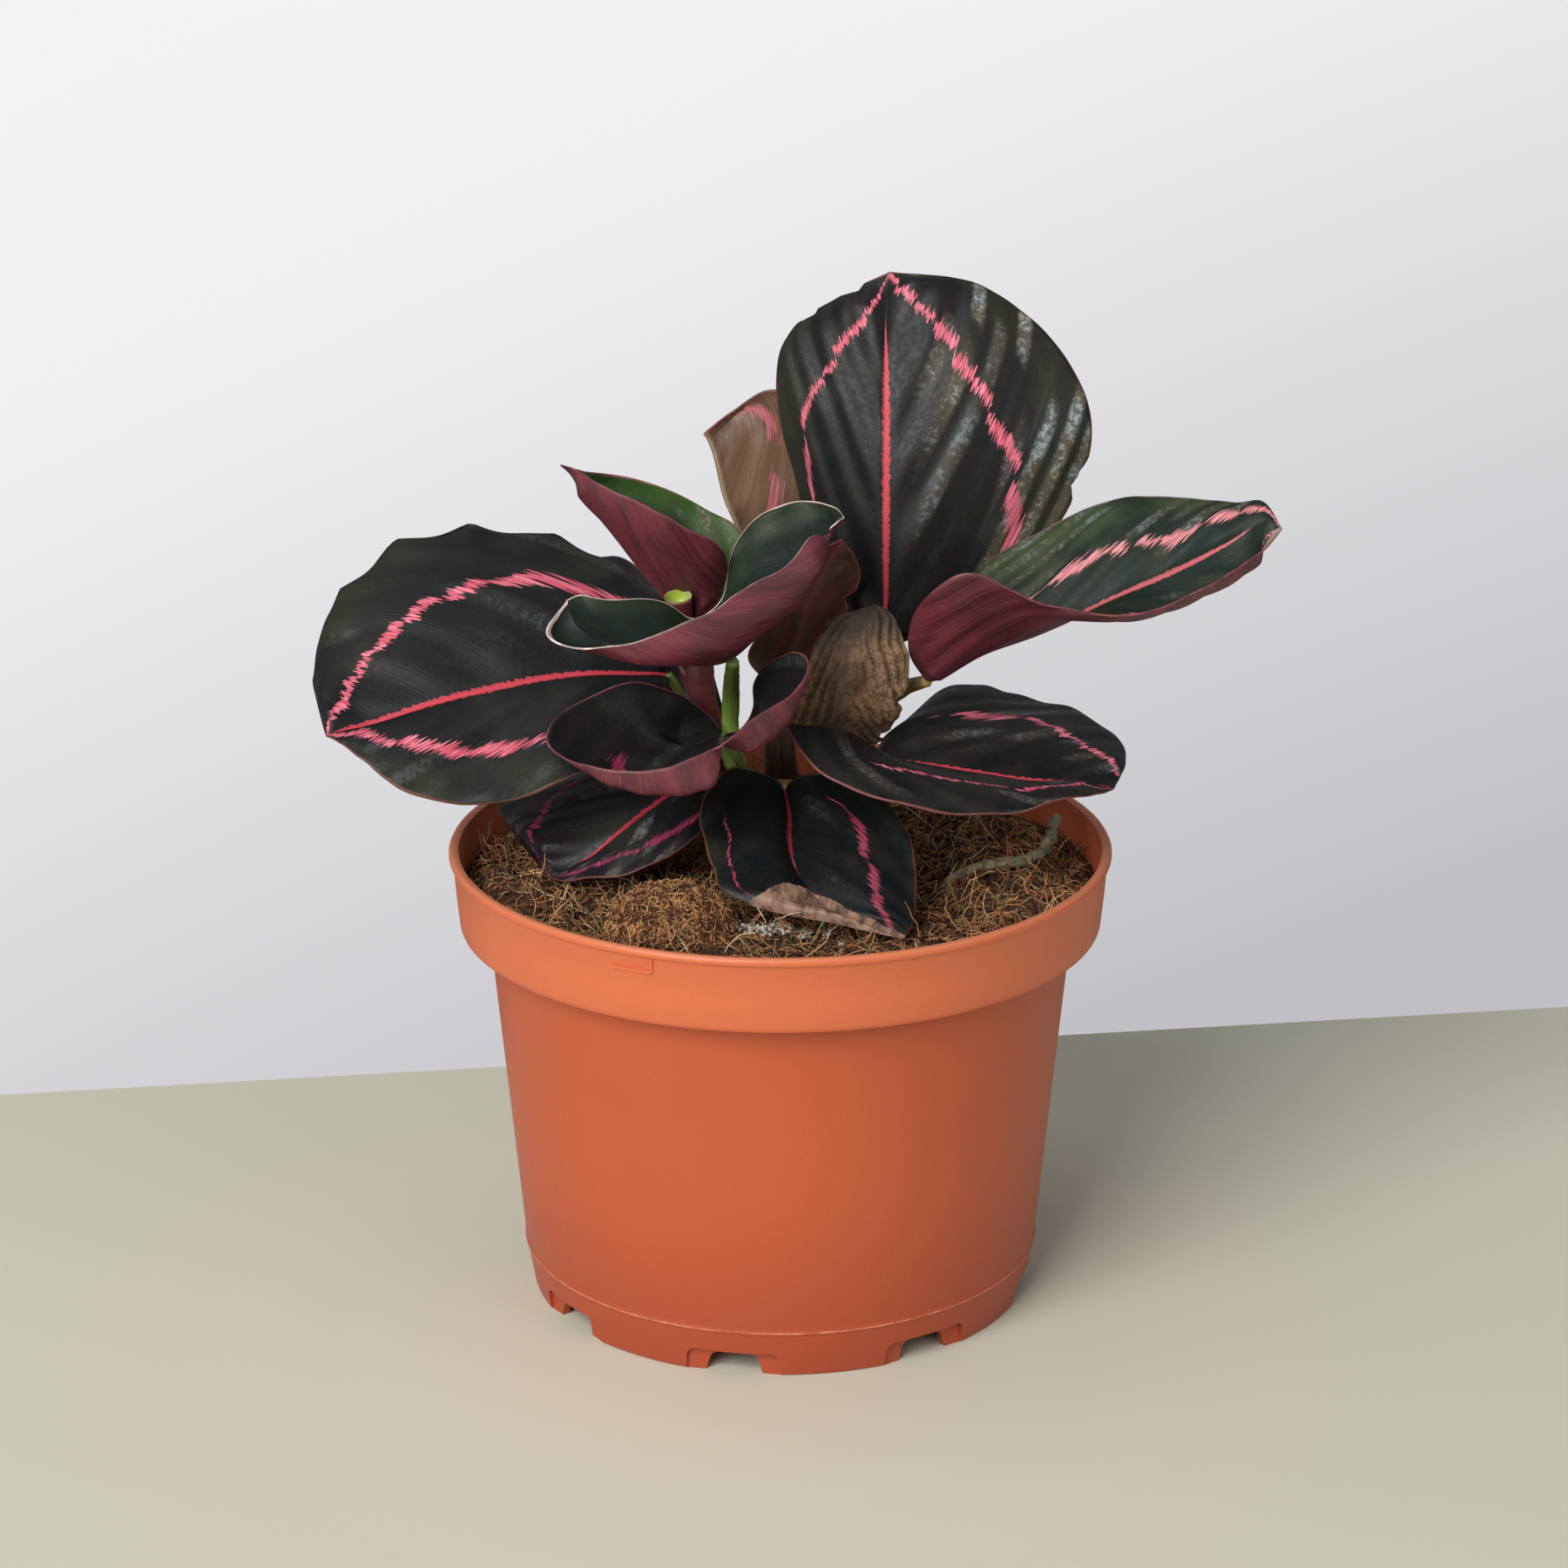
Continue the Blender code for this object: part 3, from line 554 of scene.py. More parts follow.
# Crumbs of bark and peat lie among the fibres.
bm = bmesh.new()
for _ in range(PEAT_CRUMBS):
    x, y = on_mix(10, MIX_RADIUS - 3)
    size = random.uniform(0.5, 2.0)
    at = pot_axis + Vector((x, y, mix_height(x, y) + 0.25 * size)) * MM
    turn = Matrix.Rotation(random.uniform(0, math.tau), 4, Vector((1, random.random(), 1)))
    stretch = Matrix.Diagonal((1.0, random.uniform(0.5, 1.0), random.uniform(0.35, 0.8), 1.0))
    bmesh.ops.create_icosphere(
        bm, subdivisions=2, radius=size * MM, matrix=Matrix.Translation(at) @ turn @ stretch
    )
for vertex in bm.verts:
    vertex.co += 0.35 * MM * noise.noise_vector(vertex.co * 900)
peat_crumbs = new_piece("peat_crumbs", bm, earthy("peat_crumb", PEAT_DARK, (0.11, 0.055, 0.028), 600.0))
settle(peat_crumbs, "potting_mix")

# A scatter of white mineral crumbs at the front of the mix.
bm = bmesh.new()
for _ in range(WHITE_CRUMBS):
    x = random.gauss(-5, 8.5)
    y = random.gauss(-42, 3.0)
    if math.hypot(x, y) < MIX_RADIUS - 2:
        size = random.choice((0.15, 0.2, 0.25, 0.35, 0.5)) * random.uniform(0.8, 1.2)
        at = pot_axis + Vector((x, y, mix_height(x, y) + 1.3 + 1.4 * random.random())) * MM
        bmesh.ops.create_icosphere(bm, subdivisions=1, radius=size * MM, matrix=Matrix.Translation(at))
for vertex in bm.verts:
    vertex.co += 0.45 * MM * noise.noise_vector(vertex.co * 1500)
crumb = earthy("white_crumb", (0.45, 0.45, 0.38), (0.8, 0.8, 0.74), 500.0)
settle(new_piece("white_crumbs", bm, crumb), "potting_mix")

# ---------------------------------------------------------------------------
# Coir plug. The young plant was raised in a ball of coconut fibre, and part of
# it stands out of the mix by the wall as a curly brown lump.
COIR_TONES = (
    ("coir_curls", (0.7, 0.36, 0.145), 1700, 0.15), ("coir_dark_curls", (0.17, 0.065, 0.022), 1300, 0.17),
)
COIR_SWELL = 1.08
COIR_RISE = 2.7
coir_low, coir_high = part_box("coir_plug")
coir_middle = (coir_low + coir_high) / 2 + Vector((3.0, 4.0, 0)) * MM
coir_half = 0.5 * COIR_SWELL * (coir_high - coir_low)
bm = bmesh.new()
bmesh.ops.create_icosphere(bm, subdivisions=5, radius=1.0)
for vertex in bm.verts:
    swell = 0.93 + 0.1 * noise.noise(vertex.co * 2.4) + 0.05 * noise.noise(vertex.co * 9)
    ball = vertex.co * swell
    vertex.co = coir_middle + Vector((ball.x * coir_half.x, ball.y * coir_half.y, 0))
    vertex.co.z = coir_low.z + max(ball.z, -0.2) * COIR_RISE * coir_half.z
coir_lump = new_piece("coir_lump", bm, earthy("coir_ball", (0.05, 0.02, 0.008), (0.42, 0.2, 0.08), 700.0))
coir_lump.data.shade_smooth()
settle(coir_lump, "coir", "coir_plug")
for name, tone, count, thickness in COIR_TONES:
    piece = strand_set(name, "coir", dim(tone, 0.5), tone, 260.0, thickness)
    for _ in range(count):
        outward = Vector((random.gauss(0, 1), random.gauss(0, 1), abs(random.gauss(0, 1)))).normalized()
        spin = random.uniform(0, math.tau)
        bend = random.uniform(0.5, 1.1)
        step = random.uniform(0.4, 1.0)
        rest = Vector((outward.x * coir_half.x, outward.y * coir_half.y, outward.z * COIR_RISE * coir_half.z))
        point = (coir_middle - pot_axis + rest) / MM
        point.z = (coir_low.z - pot_axis.z + rest.z) / MM
        across = outward.orthogonal().normalized()
        beside = outward.cross(across)
        points = []
        for k in range(6):
            points.append(tuple(point))
            point = point + step * (math.cos(spin) * across + math.sin(spin) * beside)
            point += outward * random.uniform(-0.45, 0.5)
            spin += bend
        add_strand(piece, points)

# ---------------------------------------------------------------------------
# Leaf blades. Each is one thin sheet on a sunken midrib, quilted between its
# side veins: near-black green above with a rose ring, wine red beneath. A
# blade is a flat grid bent over its left margin, midrib and right margin.
CROWN = pot_axis + Vector((0, 0, MIX_LEVEL * MM))
BLADE_THICKNESS = 0.42
BLADE_STEPS = (84, 124)
SAG_WIDTH = 12.0
ROSE = (0.56, 0.07, 0.115)
ROSE_HATCH = (0.8, 0.26, 0.33)
CORAL = (0.5, 0.05, 0.07)
LEAF_BLACK = (0.014, 0.0112, 0.0108)
LEAF_BLUE = (0.0075, 0.0095, 0.011)
LEAF_GREEN = (0.022, 0.023, 0.0155)
SHEEN_TAN = (0.3, 0.26, 0.19)
SHEEN_BLUE = (0.33, 0.37, 0.39)
WINE = (0.15, 0.025, 0.036)
WINE_DARK = (0.072, 0.013, 0.02)
RIM_BROWN = (0.13, 0.05, 0.03)


def along(points, t):
    """A point on the smooth curve through the points, t from 0 to 1."""
    last = len(points) - 1
    spot = min(max(t, 0.0), 1.0) * last
    i = min(int(spot), last - 1)
    f = spot - i
    b, c = points[i], points[i + 1]
    a = points[i - 1] if i > 0 else 2 * b - c
    d = points[i + 2] if i + 2 <= last else 2 * c - b
    return 0.5 * (2 * b + (c - a) * f + (2 * a - 5 * b + 4 * c - d) * f**2 + (3 * b - a - 3 * c + d) * f**3)


def blade(
    name, slot, base, stations, tip, sag, upper, under=None, rim=None,
    rings=((0.6, 0.6), (0.6, 0.6)), pitch=14.0, quilt=0.3, wave=0.6, slant=1.1, bites=(),
    scallop=(0, 1, 0), crumple=0.0,
):
    """A leaf blade from (left margin, midrib, right margin) stations in mm from the crown.

    sag bows each half out of its straight line. rings says where the rose ring
    runs on each half, as shares of its width from the base to the tip. pitch is
    how far apart the side veins stand, slant how far they lean to the tip, quilt
    how deep the folds between them are and wave how much the margin ripples.
    Each bite is (side, place along, width, depth) of torn margin, scallop the
    (depth, length, side) of its arcs, and crumple how far it is crushed.
    """
    guides = [[Vector(p) for p in (base, *line, tip)] for line in zip(*stations)]
    across_steps, along_steps = BLADE_STEPS
    bm = bmesh.new()
    bm.loops.layers.uv.new("UVMap")
    spot_layer = bm.verts.layers.float_vector.new("spot")
    ring_layer = bm.verts.layers.float_vector.new("ring")
    bmesh.ops.create_grid(bm, x_segments=across_steps, y_segments=along_steps, size=1.0, calc_uvs=True)
    rows = []
    length = 0.0
    for i in range(along_steps + 1):
        t = i / along_steps
        left, middle, right = (along(line, t) for line in guides)
        if rows:
            length += (middle - rows[-1][1]).length
        forward = along(guides[1], t + 0.02) - along(guides[1], t - 0.02)
        rows.append((left, middle, right, forward, length))
    for vertex in bm.verts:
        t = (vertex.co.y + 1) / 2
        left, middle, right, forward, reached = rows[round(t * along_steps)]
        lefthand = vertex.co.x < 0
        share = abs(vertex.co.x) ** 1.2
        side = left if lefthand else right
        out = (middle - left) if lefthand else (right - middle)
        width = out.length
        up = out.cross(forward).normalized() if width > 0.01 and forward.length > 0.01 else Vector((0, 0, 0))
        full = min(1.0, (width / SAG_WIDTH) ** 2)
        bow = full * 4 * share * (1 - share) * (sag[0] if lefthand else sag[1])
        if scallop[0] and (scallop[2] < 0) == lefthand:
            uneven = 0.22 * noise.noise(Vector((t * 9, 1, 1)))
            dent = scallop[0] * abs(math.sin(math.pi * (reached / scallop[1] + uneven)))
            share *= 1 - dent * full * share**2 / max(width, 1.0)
        for bite_side, at, wide, deep in bites:
            if (bite_side < 0) == lefthand:
                ragged = 1 + 0.5 * noise.noise(Vector((reached / 1.3, at, 5)))
                dent = max(0.0, 1 - ((t - at) / wide) ** 2) * deep * ragged
                share = min(share, max(0.3, 1 - dent / max(width, 1.0)))
        away = share * width
        vein = (reached - away * (slant + 0.55 * share)) / pitch
        place = middle.lerp(side, share) + up * bow
        seed = 7.0 * len(name) + (40 if lefthand else 0)
        fold = 0.6 * math.cos(math.tau * vein) + 1.6 * noise.noise(Vector((vein * 0.85, seed, 0.8 * share)))
        body = min(1.0, away / 4.0) * min(1.0, (width - away) / 3.0 + 0.25) * min(1.0, width / 10.0)
        lift = quilt * fold * body
        lift += wave * share**3 * noise.noise(Vector((reached / 7.5, seed, 1.5 * share))) * full
        lift += 0.7 * noise.noise(place / 17 + Vector((seed, 0, 0))) * share * full
        lift -= 0.35 * math.exp(-((away / 1.1) ** 2)) * min(1.0, 4 * (1 - t))
        crushed = noise.noise_vector(place / 7) + 0.35 * noise.noise_vector(place / 2.6)
        vertex.co = CROWN + (place + up * lift + crumple * crushed) * MM
        vertex[spot_layer] = (-away if lefthand else away, reached, width - away)
        line = along(rings[0] if lefthand else rings[1], t)
        vertex[ring_layer] = (away - line * width, t, vein)
    inner = [v for v in bm.verts if abs(v[spot_layer].x) < 0.18 * (abs(v[spot_layer].x) + v[spot_layer].z)]
    for _ in range(3):
        bmesh.ops.smooth_vert(bm, verts=inner, factor=0.5, use_axis_x=True, use_axis_y=True, use_axis_z=True)
    bmesh.ops.remove_doubles(bm, verts=bm.verts, dist=0.01 * MM)
    piece = new_piece(name + "_blade", bm, upper, under or wine_under, rim or rose_margin)
    piece.data.shade_smooth()
    sheet = piece.modifiers.new("thickness", "SOLIDIFY")
    sheet.thickness = BLADE_THICKNESS * MM
    sheet.offset = 0.0
    sheet.material_offset = 1
    sheet.material_offset_rim = 2
    settle(piece, slot, name)


def vein_pattern(leaf):
    """What every blade finish starts from: where on the blade a point is, in mm."""
    side, _, edge = leaf.put("Attribute", 1, {}, attribute_name="spot").parts()
    off, t, vein = leaf.put("Attribute", 1, {}, attribute_name="ring").parts()
    away = abs(side)
    share = leaf.sum("DIVIDE", away, leaf.sum("MAXIMUM", away + edge, 0.3))
    lined = vein + 3.7 * leaf.sum("SIGN", side)
    return side, edge, away, share, off, t, lined


def streaks(leaf, vein, share, fine, long, seed=0.0):
    """Noise drawn out along the side veins: fine across them, long along them."""
    drawn_out = {0: vein * fine, 1: share * long, 2: seed}
    return leaf.grain(leaf.put("CombineXYZ", 0, drawn_out), 1.0, 2.0, 0.6)


def upper_finish(
    name, ground=LEAF_BLACK, valley=LEAF_BLUE, flush=LEAF_GREEN, ring=ROSE, hatch=ROSE_HATCH, rib=CORAL,
    ring_width=(2.4, 2.4), ring_from=(0.12, 0.12), rib_width=1.0, rib_end=0.82, seed=0.0, pitch=14.0,
    painted_sheen=(0.15, 0.15), margin=RIM_BROWN, margins=(0.45, 0.45), dry=None, green=0.3,
):
    """The glossy upper face: dark quilted ground, toothed ring, feathered midrib.

    ring_from is where along each half the ring starts, margins the width of each pale margin,
    and the sheen pair how bright the painted sheen of each half is.
    """
    leaf = Finish(name, Roughness=0.36)
    side, edge, away, share, off, t, lined = vein_pattern(leaf)
    place = leaf.place()
    righthand = side.rise(-0.02, 0.02)
    full = (away + edge).rise(3.0, 18.0, 0.25, 1.0)

    def halves(pair):
        return righthand * (pair[1] - pair[0]) + pair[0]

    # The ring is a row of slanted dashes, one for each lane between veins.
    lanes = 1.35 * lined
    lane = leaf.sum("FLOOR", lanes)
    within = leaf.sum("FRACT", lanes)
    numbered = leaf.put("CombineXYZ", 0, {0: lane, 2: seed})
    chances = leaf.put("TexWhiteNoise", 1, {"Vector": numbered}).parts("SeparateColor")
    teeth = streaks(leaf, lined, share, 0.95 * pitch, 1.5, seed).rise(0.34, 0.66)
    inner_teeth = streaks(leaf, lined, share, 1.25 * pitch, 1.5, seed + 9).rise(0.34, 0.66)
    thick = halves(ring_width)
    shift = chances[0] - 0.5 + (0.6 * within - 0.3) + (0.6 * teeth - 0.3)
    off = off + shift * thick * full
    wide = 0.28 * chances[1] + 0.34 + (0.5 * inner_teeth - 0.28)
    parted = abs(within - 0.5).rise(0.43, 0.5, 0.0, 0.15)
    wide = (wide - parted) * thick
    begun = (t - halves(ring_from)).rise(-0.03, 0.08)
    wide = wide * (begun * t.rise(0.75, 1.0, 1.0, 0.35))
    on_ring = (wide - abs(off)).rise(0.0, 0.22)

    feather = streaks(leaf, lined, share, 0.8 * pitch, 0.5, seed + 4).rise(0.32, 0.68)
    toothed = feather * t.rise(0.1, 0.4, 0.1, 0.6)
    taper = t.rise(rib_end - 0.25, rib_end + 0.06, rib_width, 0.0)
    rib_half = (t.rise(0.0, 0.35, 0.45, 0.6) + toothed) * taper
    on_rib = (rib_half - away).rise(-0.05, 0.12) * taper.rise(0.05, 0.15)

    fold = leaf.sum("COSINE", lined * math.tau)
    fine = streaks(leaf, lined, share, 1.6 * pitch, 3.0, seed + 6)
    cloudy = leaf.grain(place, 48.0, 3.0)
    low_cloud = leaf.grain(place, 110.0, 3.0)
    speck = leaf.grain(place, 800.0, 3.0, 0.7)
    colour = leaf.mix((0.12 * fold + low_cloud).rise(0.4, 0.62), ground, valley)
    by_margin = cloudy + share.rise(0.55, 1.0, 0.0, green)
    colour = leaf.mix(by_margin.rise(0.52, 0.75), colour, flush)
    colour = leaf.mix(fine.rise(0.3, 0.5, 0.35, 0.0), colour, dim(ground, 0.4))

    # Painted sheen: the soft box's reflection, drawn as speckled grey and tan patches between the veins,
    # stronger on the half turned to the light.
    drawn_out = {0: 5.37 * lane, 1: 1.9 * share, 2: seed + 2}
    sheen_lanes = leaf.grain(leaf.put("CombineXYZ", 0, drawn_out), 1.0, 1.0).rise(0.51, 0.6)
    ridge = abs(within - 0.5).rise(0.12, 0.4, 1.0, 0.0) * share.rise(0.1, 0.35)
    sheen_mask = halves(painted_sheen) * sheen_lanes * ridge
    sheen_grain = (speck + 0.5 * low_cloud).rise(0.72, 0.9)
    sheen_tone = leaf.mix(low_cloud.rise(0.48, 0.62), SHEEN_TAN, SHEEN_BLUE)
    dim_sheen = leaf.mix(0.72, sheen_tone, ground)
    colour = leaf.mix(sheen_mask, colour, leaf.mix(sheen_grain, dim_sheen, sheen_tone))

    hatched = fine.rise(0.42, 0.64)
    lighter = leaf.mix(away.rise(0.05, 0.35, 0.55, 0.0), rib, dim(rib, 1.45))
    colour = leaf.mix(on_rib, colour, lighter)
    colour = leaf.mix(on_ring, colour, leaf.mix(hatched, ring, hatch))
    uneven = halves(margins) * cloudy.rise(0.38, 0.62, 0.4, 1.3)
    colour = leaf.mix((uneven - edge).rise(-0.1, 0.15), colour, margin)
    if dry is not None:
        start, lean, tone = dry
        past = 60.0 * (t - (share * lean + start)) + (7.0 * low_cloud - 3.5)
        spill = t.rise(start, start + 0.12, 0.0, 4.0) - away + (3.0 * low_cloud - 1.5)
        shrunk = leaf.put("Mix", 0, {0: righthand, 2: spill, 3: past})
        crumpled = leaf.grain(leaf.place((1, 0.35, 0.6)), 420.0, 3.0, 0.65).rise(0.36, 0.6)
        ribbed = leaf.mix(crumpled, dim(tone, 0.3), tone)
        colour = leaf.mix(shrunk.rise(0.0, 0.3), colour, ribbed)
    rough = speck.rise(0.35, 0.65, 0.3, 0.46) + 0.08 * cloudy
    grainy = leaf.relief(speck, 0.035 * MM, leaf.relief(fine, 0.05 * MM))
    leaf.coat(Base_Color=colour, Roughness=rough, Normal=grainy, Specular_IOR_Level=0.22)
    return leaf.material


def under_finish(name, light=WINE, dark=WINE_DARK, vein_tone=(0.24, 0.05, 0.07), seed=0.0, marks=None):
    """The satin underside: wine red, shaded along the side veins."""
    leaf = Finish(name, Roughness=0.45)
    side, edge, away, share, off, t, lined = vein_pattern(leaf)
    place = leaf.place()
    long_streak = streaks(leaf, lined, share, 2.2, 1.8, seed + 3)
    fine = streaks(leaf, lined, share, 17.0, 3.0, seed + 5)
    cloudy = leaf.grain(place, 60.0, 3.0)
    colour = leaf.mix((cloudy + long_streak).rise(0.82, 1.2), dark, light)
    colour = leaf.mix(fine.rise(0.46, 0.68, 0.0, 0.35), colour, vein_tone)
    lanes = leaf.sum("FRACT", 1.9 * lined)
    thin = abs(lanes - 0.5).rise(0.45, 0.5, 0.0, 0.35)
    colour = leaf.mix(thin, colour, dim(dark, 0.35))
    colour = leaf.mix(away.rise(0.3, 1.1, 0.7, 0.0), colour, vein_tone)
    if marks is not None:
        toothed = 2.4 * fine.rise(0.34, 0.66) - 1.2
        near = abs(off + toothed)
        broken = leaf.grain(place, 130.0).rise(0.42, 0.55, 0.0, 0.8)
        colour = leaf.mix(broken * near.rise(0.6, 1.6, 1.0, 0.0), colour, marks)
    speck = leaf.grain(place, 1500.0, 2.0, 0.7)
    leaf.coat(
        Base_Color=colour, Roughness=speck.rise(0.3, 0.7, 0.36, 0.55),
        Normal=leaf.relief(speck, 0.03 * MM, leaf.relief(fine, 0.1 * MM)),
    )
    return leaf.material


def margin_finish(name, tone, right_tone=None):
    """The cut edge of the sheet, worn darker in patches."""
    edge = Finish(name, Roughness=0.5)
    worn = edge.grain(edge.place(), 300.0, 3.0).rise(0.35, 0.65)
    side = vein_pattern(edge)[0]
    both = edge.mix(side.rise(-0.02, 0.02), tone, right_tone or tone)
    edge.coat(Base_Color=edge.mix(worn, edge.mix(0.6, both, (0.01, 0.006, 0.004)), both))
    return edge.material


wine_under = under_finish("wine_underside")
brown_margin = margin_finish("brown_margin", (0.2, 0.085, 0.045))
rose_margin = margin_finish("rose_margin", (0.28, 0.08, 0.09))

# The tall leaf stands at the back and shows its whole upper face.
tall_upper = upper_finish(
    "tall_upper", seed=1.0, pitch=18.0, ring_from=(0.3, 0.12), ring_width=(1.7, 2.7), painted_sheen=(0.0, 0.9),
)
blade(
    "leaf_tall", "leaf_dark", (23, 12, 50),
    [
        ((12, 20, 59), (24, 12, 60), (42, 19, 57)), ((4, 30, 84), (24, 14, 78), (63, 22, 76)),
        ((-1, 34, 107), (24, 18, 97), (71, 24, 98)), ((3, 36, 120), (24, 24, 113), (64, 29, 116)),
        ((15, 36, 128), (24, 31, 124), (46, 34, 130)),
    ],
    (25, 36, 133), (2, 3), tall_upper, rim=brown_margin,
    rings=(
        (0.8, 0.8, 0.78, 0.65, 0.45, 0.32, 0.3), (0.85, 0.85, 0.75, 0.56, 0.41, 0.33, 0.3),
    ),
    pitch=18.0, slant=1.45, quilt=0.45,
    bites=((1, 0.42, 0.035, 1.6), (-1, 0.72, 0.03, 1.0), (-1, 0.86, 0.04, 1.2)),
)

# The left leaf is the widest. It hangs out over the rim, with a scalloped margin.
left_upper = upper_finish(
    "left_upper", ground=(0.0125, 0.0125, 0.0125), seed=2.0, pitch=16.0, rib_width=1.15, rib_end=0.95,
    ring_from=(0.34, 0.15), ring_width=(2.6, 2.6), painted_sheen=(0.1, 0.12), green=0.15,
)
blade(
    "leaf_left", "leaf_dark", (-25, 6, 46),
    [
        ((-29, -14, 37), (-32, 4, 47), (-24, 22, 57)), ((-43, -26, 34), (-46, 0, 48), (-36, 30, 66)),
        ((-63, -30, 27), (-60, -4, 47), (-60, 32, 74)), ((-82, -30, 30), (-77, -8, 44), (-87, 28, 73)),
        ((-93, -24, 36), (-91, -11, 40), (-104, 14, 59)), ((-99, -18, 38), (-98, -13, 39), (-106, 0, 48)),
    ],
    (-102, -14, 38), (2, 3), left_upper, rim=brown_margin,
    rings=(
        (0.6, 0.6, 0.57, 0.57, 0.56, 0.58, 0.6, 0.6), (0.6, 0.6, 0.6, 0.63, 0.5, 0.36, 0.28, 0.25),
    ),
    pitch=16.0, slant=0.75, quilt=0.45, wave=1.2, scallop=(2.4, 11.0, 1),
)

# A younger leaf on the right, still green, with its near half folded up.
right_upper = upper_finish(
    "right_upper", ground=(0.014, 0.022, 0.014), valley=(0.01, 0.02, 0.014), flush=(0.042, 0.066, 0.026),
    ring=(0.55, 0.13, 0.17), hatch=(0.8, 0.4, 0.38), rib=(0.45, 0.1, 0.11), rib_width=0.8, seed=3.0,
    ring_width=(2.2, 2.2), ring_from=(0.25, 0.45), painted_sheen=(0.4, 0.25), pitch=15.0, green=0.1,
    margin=(0.3, 0.22, 0.2), margins=(0.35, 1.6),
)
blade(
    "leaf_right", "leaf_green", (33, -5, 48),
    [
        ((38, 10, 59), (37, -4, 49), (29, -10, 57)), ((46, 15, 69), (46, -3, 54), (31, -22, 72)),
        ((61, 18, 77), (60, -2, 59), (41, -28, 80)), ((76, 18, 84), (75, 0, 66), (56, -26, 73)),
        ((90, 16, 85), (89, 2, 72), (76, -20, 68)), ((103, 12, 85), (101, 4, 78), (95, -12, 72)),
        ((109, 9, 86), (109, 5, 83), (107, -3, 77)),
    ],
    (113, 4, 81), (2, -5), right_upper,
    rings=(
        (0.3, 0.3, 0.35, 0.38, 0.45, 0.4, 0.6, 0.5, 0.5),
        (0.5, 0.5),
    ),
    pitch=15.0, slant=1.6, quilt=0.35,
)

# The low right leaf lies almost flat over the mix.
low_upper = upper_finish(
    "low_upper", ground=(0.018, 0.0145, 0.0145), seed=4.0, ring=(0.46, 0.055, 0.095),
    ring_from=(0.38, 0.36), ring_width=(2.2, 1.2), rib_width=0.9, rib_end=0.92, painted_sheen=(0.3, 0.3), green=0.0,
)
blade(
    "leaf_lower_right", "leaf_dark", (21, -10, 31),
    [
        ((22, -5, 31), (22, -11, 32), (12, -18, 40)), ((25, 2, 33), (25, -13, 32), (2, -26, 44)),
        ((36, 14, 39), (31, -16, 32), (10, -35, 36)), ((47, 18, 39), (42, -18, 31), (28, -40, 31)),
        ((58, 18, 37), (54, -18, 29), (48, -39, 28)), ((70, 12, 34), (65, -18, 28), (64, -32, 29)),
        ((78, 0, 30), (73, -17, 27), (72, -22, 27)),
    ],
    (75, -16, 26), (2, 2), low_upper,
    rings=(
        (0.55, 0.55, 0.55, 0.55, 0.56, 0.61, 0.5, 0.4, 0.3),
        (0.5, 0.5, 0.5, 0.5, 0.5, 0.5, 0.55, 0.55, 0.5),
    ),
    wave=1.6,
)

# The front leaf hangs down over the mix. Its near edge is dry, torn and turned.
front_upper = upper_finish(
    "front_upper", ground=(0.0085, 0.008, 0.0085), valley=(0.006, 0.0085, 0.01), seed=5.0,
    ring=(0.24, 0.025, 0.055), hatch=(0.4, 0.085, 0.13), rib=(0.18, 0.018, 0.03), rib_width=0.8,
    rib_end=0.66, ring_from=(0.26, 0.42), ring_width=(1.8, 0.8), painted_sheen=(0.14, 0.04),
    green=0.1, dry=(0.71, 0.17, (0.3, 0.175, 0.12)),
)
blade(
    "leaf_front", "leaf_dark", (1, -9, 25),
    [
        ((14, -11, 28), (1, -11, 24), (-10, -11, 29)), ((22, -18, 25), (2, -17, 20), (-16, -15, 26)),
        ((28, -26, 20), (2, -25, 17), (-18, -22, 22)), ((30, -34, 15), (3, -32, 14), (-17, -28, 19)),
        ((30, -42, 10), (6, -39, 11), (-15, -35, 14)), ((29, -49, 6), (13, -46, 7), (-9, -43, 9)),
    ],
    (27, -53, 4), (2, 2), front_upper,
    rings=(
        (0.5, 0.5, 0.55, 0.6, 0.6, 0.6, 0.57, 0.5), (0.7, 0.7, 0.71, 0.73, 0.73, 0.79, 0.8, 0.8),
    ),
    slant=0.7, wave=1.0,
)

# The low left leaf lies over the mix beside it.
front_left_upper = upper_finish(
    "front_left_upper", ground=(0.017, 0.012, 0.0165), valley=(0.012, 0.0105, 0.016), seed=6.0,
    ring=(0.22, 0.023, 0.065), hatch=(0.35, 0.06, 0.12), rib=(0.4, 0.03, 0.05), rib_width=0.8,
    ring_from=(0.15, 0.46), ring_width=(1.4, 1.6), painted_sheen=(0.55, 0.28), green=0.05, pitch=11.0,
)
blade(
    "leaf_front_left", "leaf_dark", (-11, -6, 28),
    [
        ((-15, -14, 20), (-16, -9, 26), (-17, -4, 28)), ((-19, -20, 16), (-23, -10, 24), (-31, 8, 26)),
        ((-26, -24, 12), (-30, -13, 20), (-46, 13, 22)), ((-34, -26, 9), (-36, -16, 16), (-58, 14, 18)),
        ((-42, -25, 8), (-42, -17, 11), (-65, 8, 15)), ((-48, -22, 6), (-47, -17, 8), (-61, -3, 11)),
    ],
    (-52, -17, 5), (1, 3), front_left_upper,
    rings=(
        (0.7, 0.7, 0.7, 0.67, 0.6, 0.65, 0.6, 0.6), (0.6, 0.6, 0.6, 0.6, 0.6, 0.5, 0.6, 0.5),
    ),
    pitch=11.0, slant=0.8, wave=1.3,
)

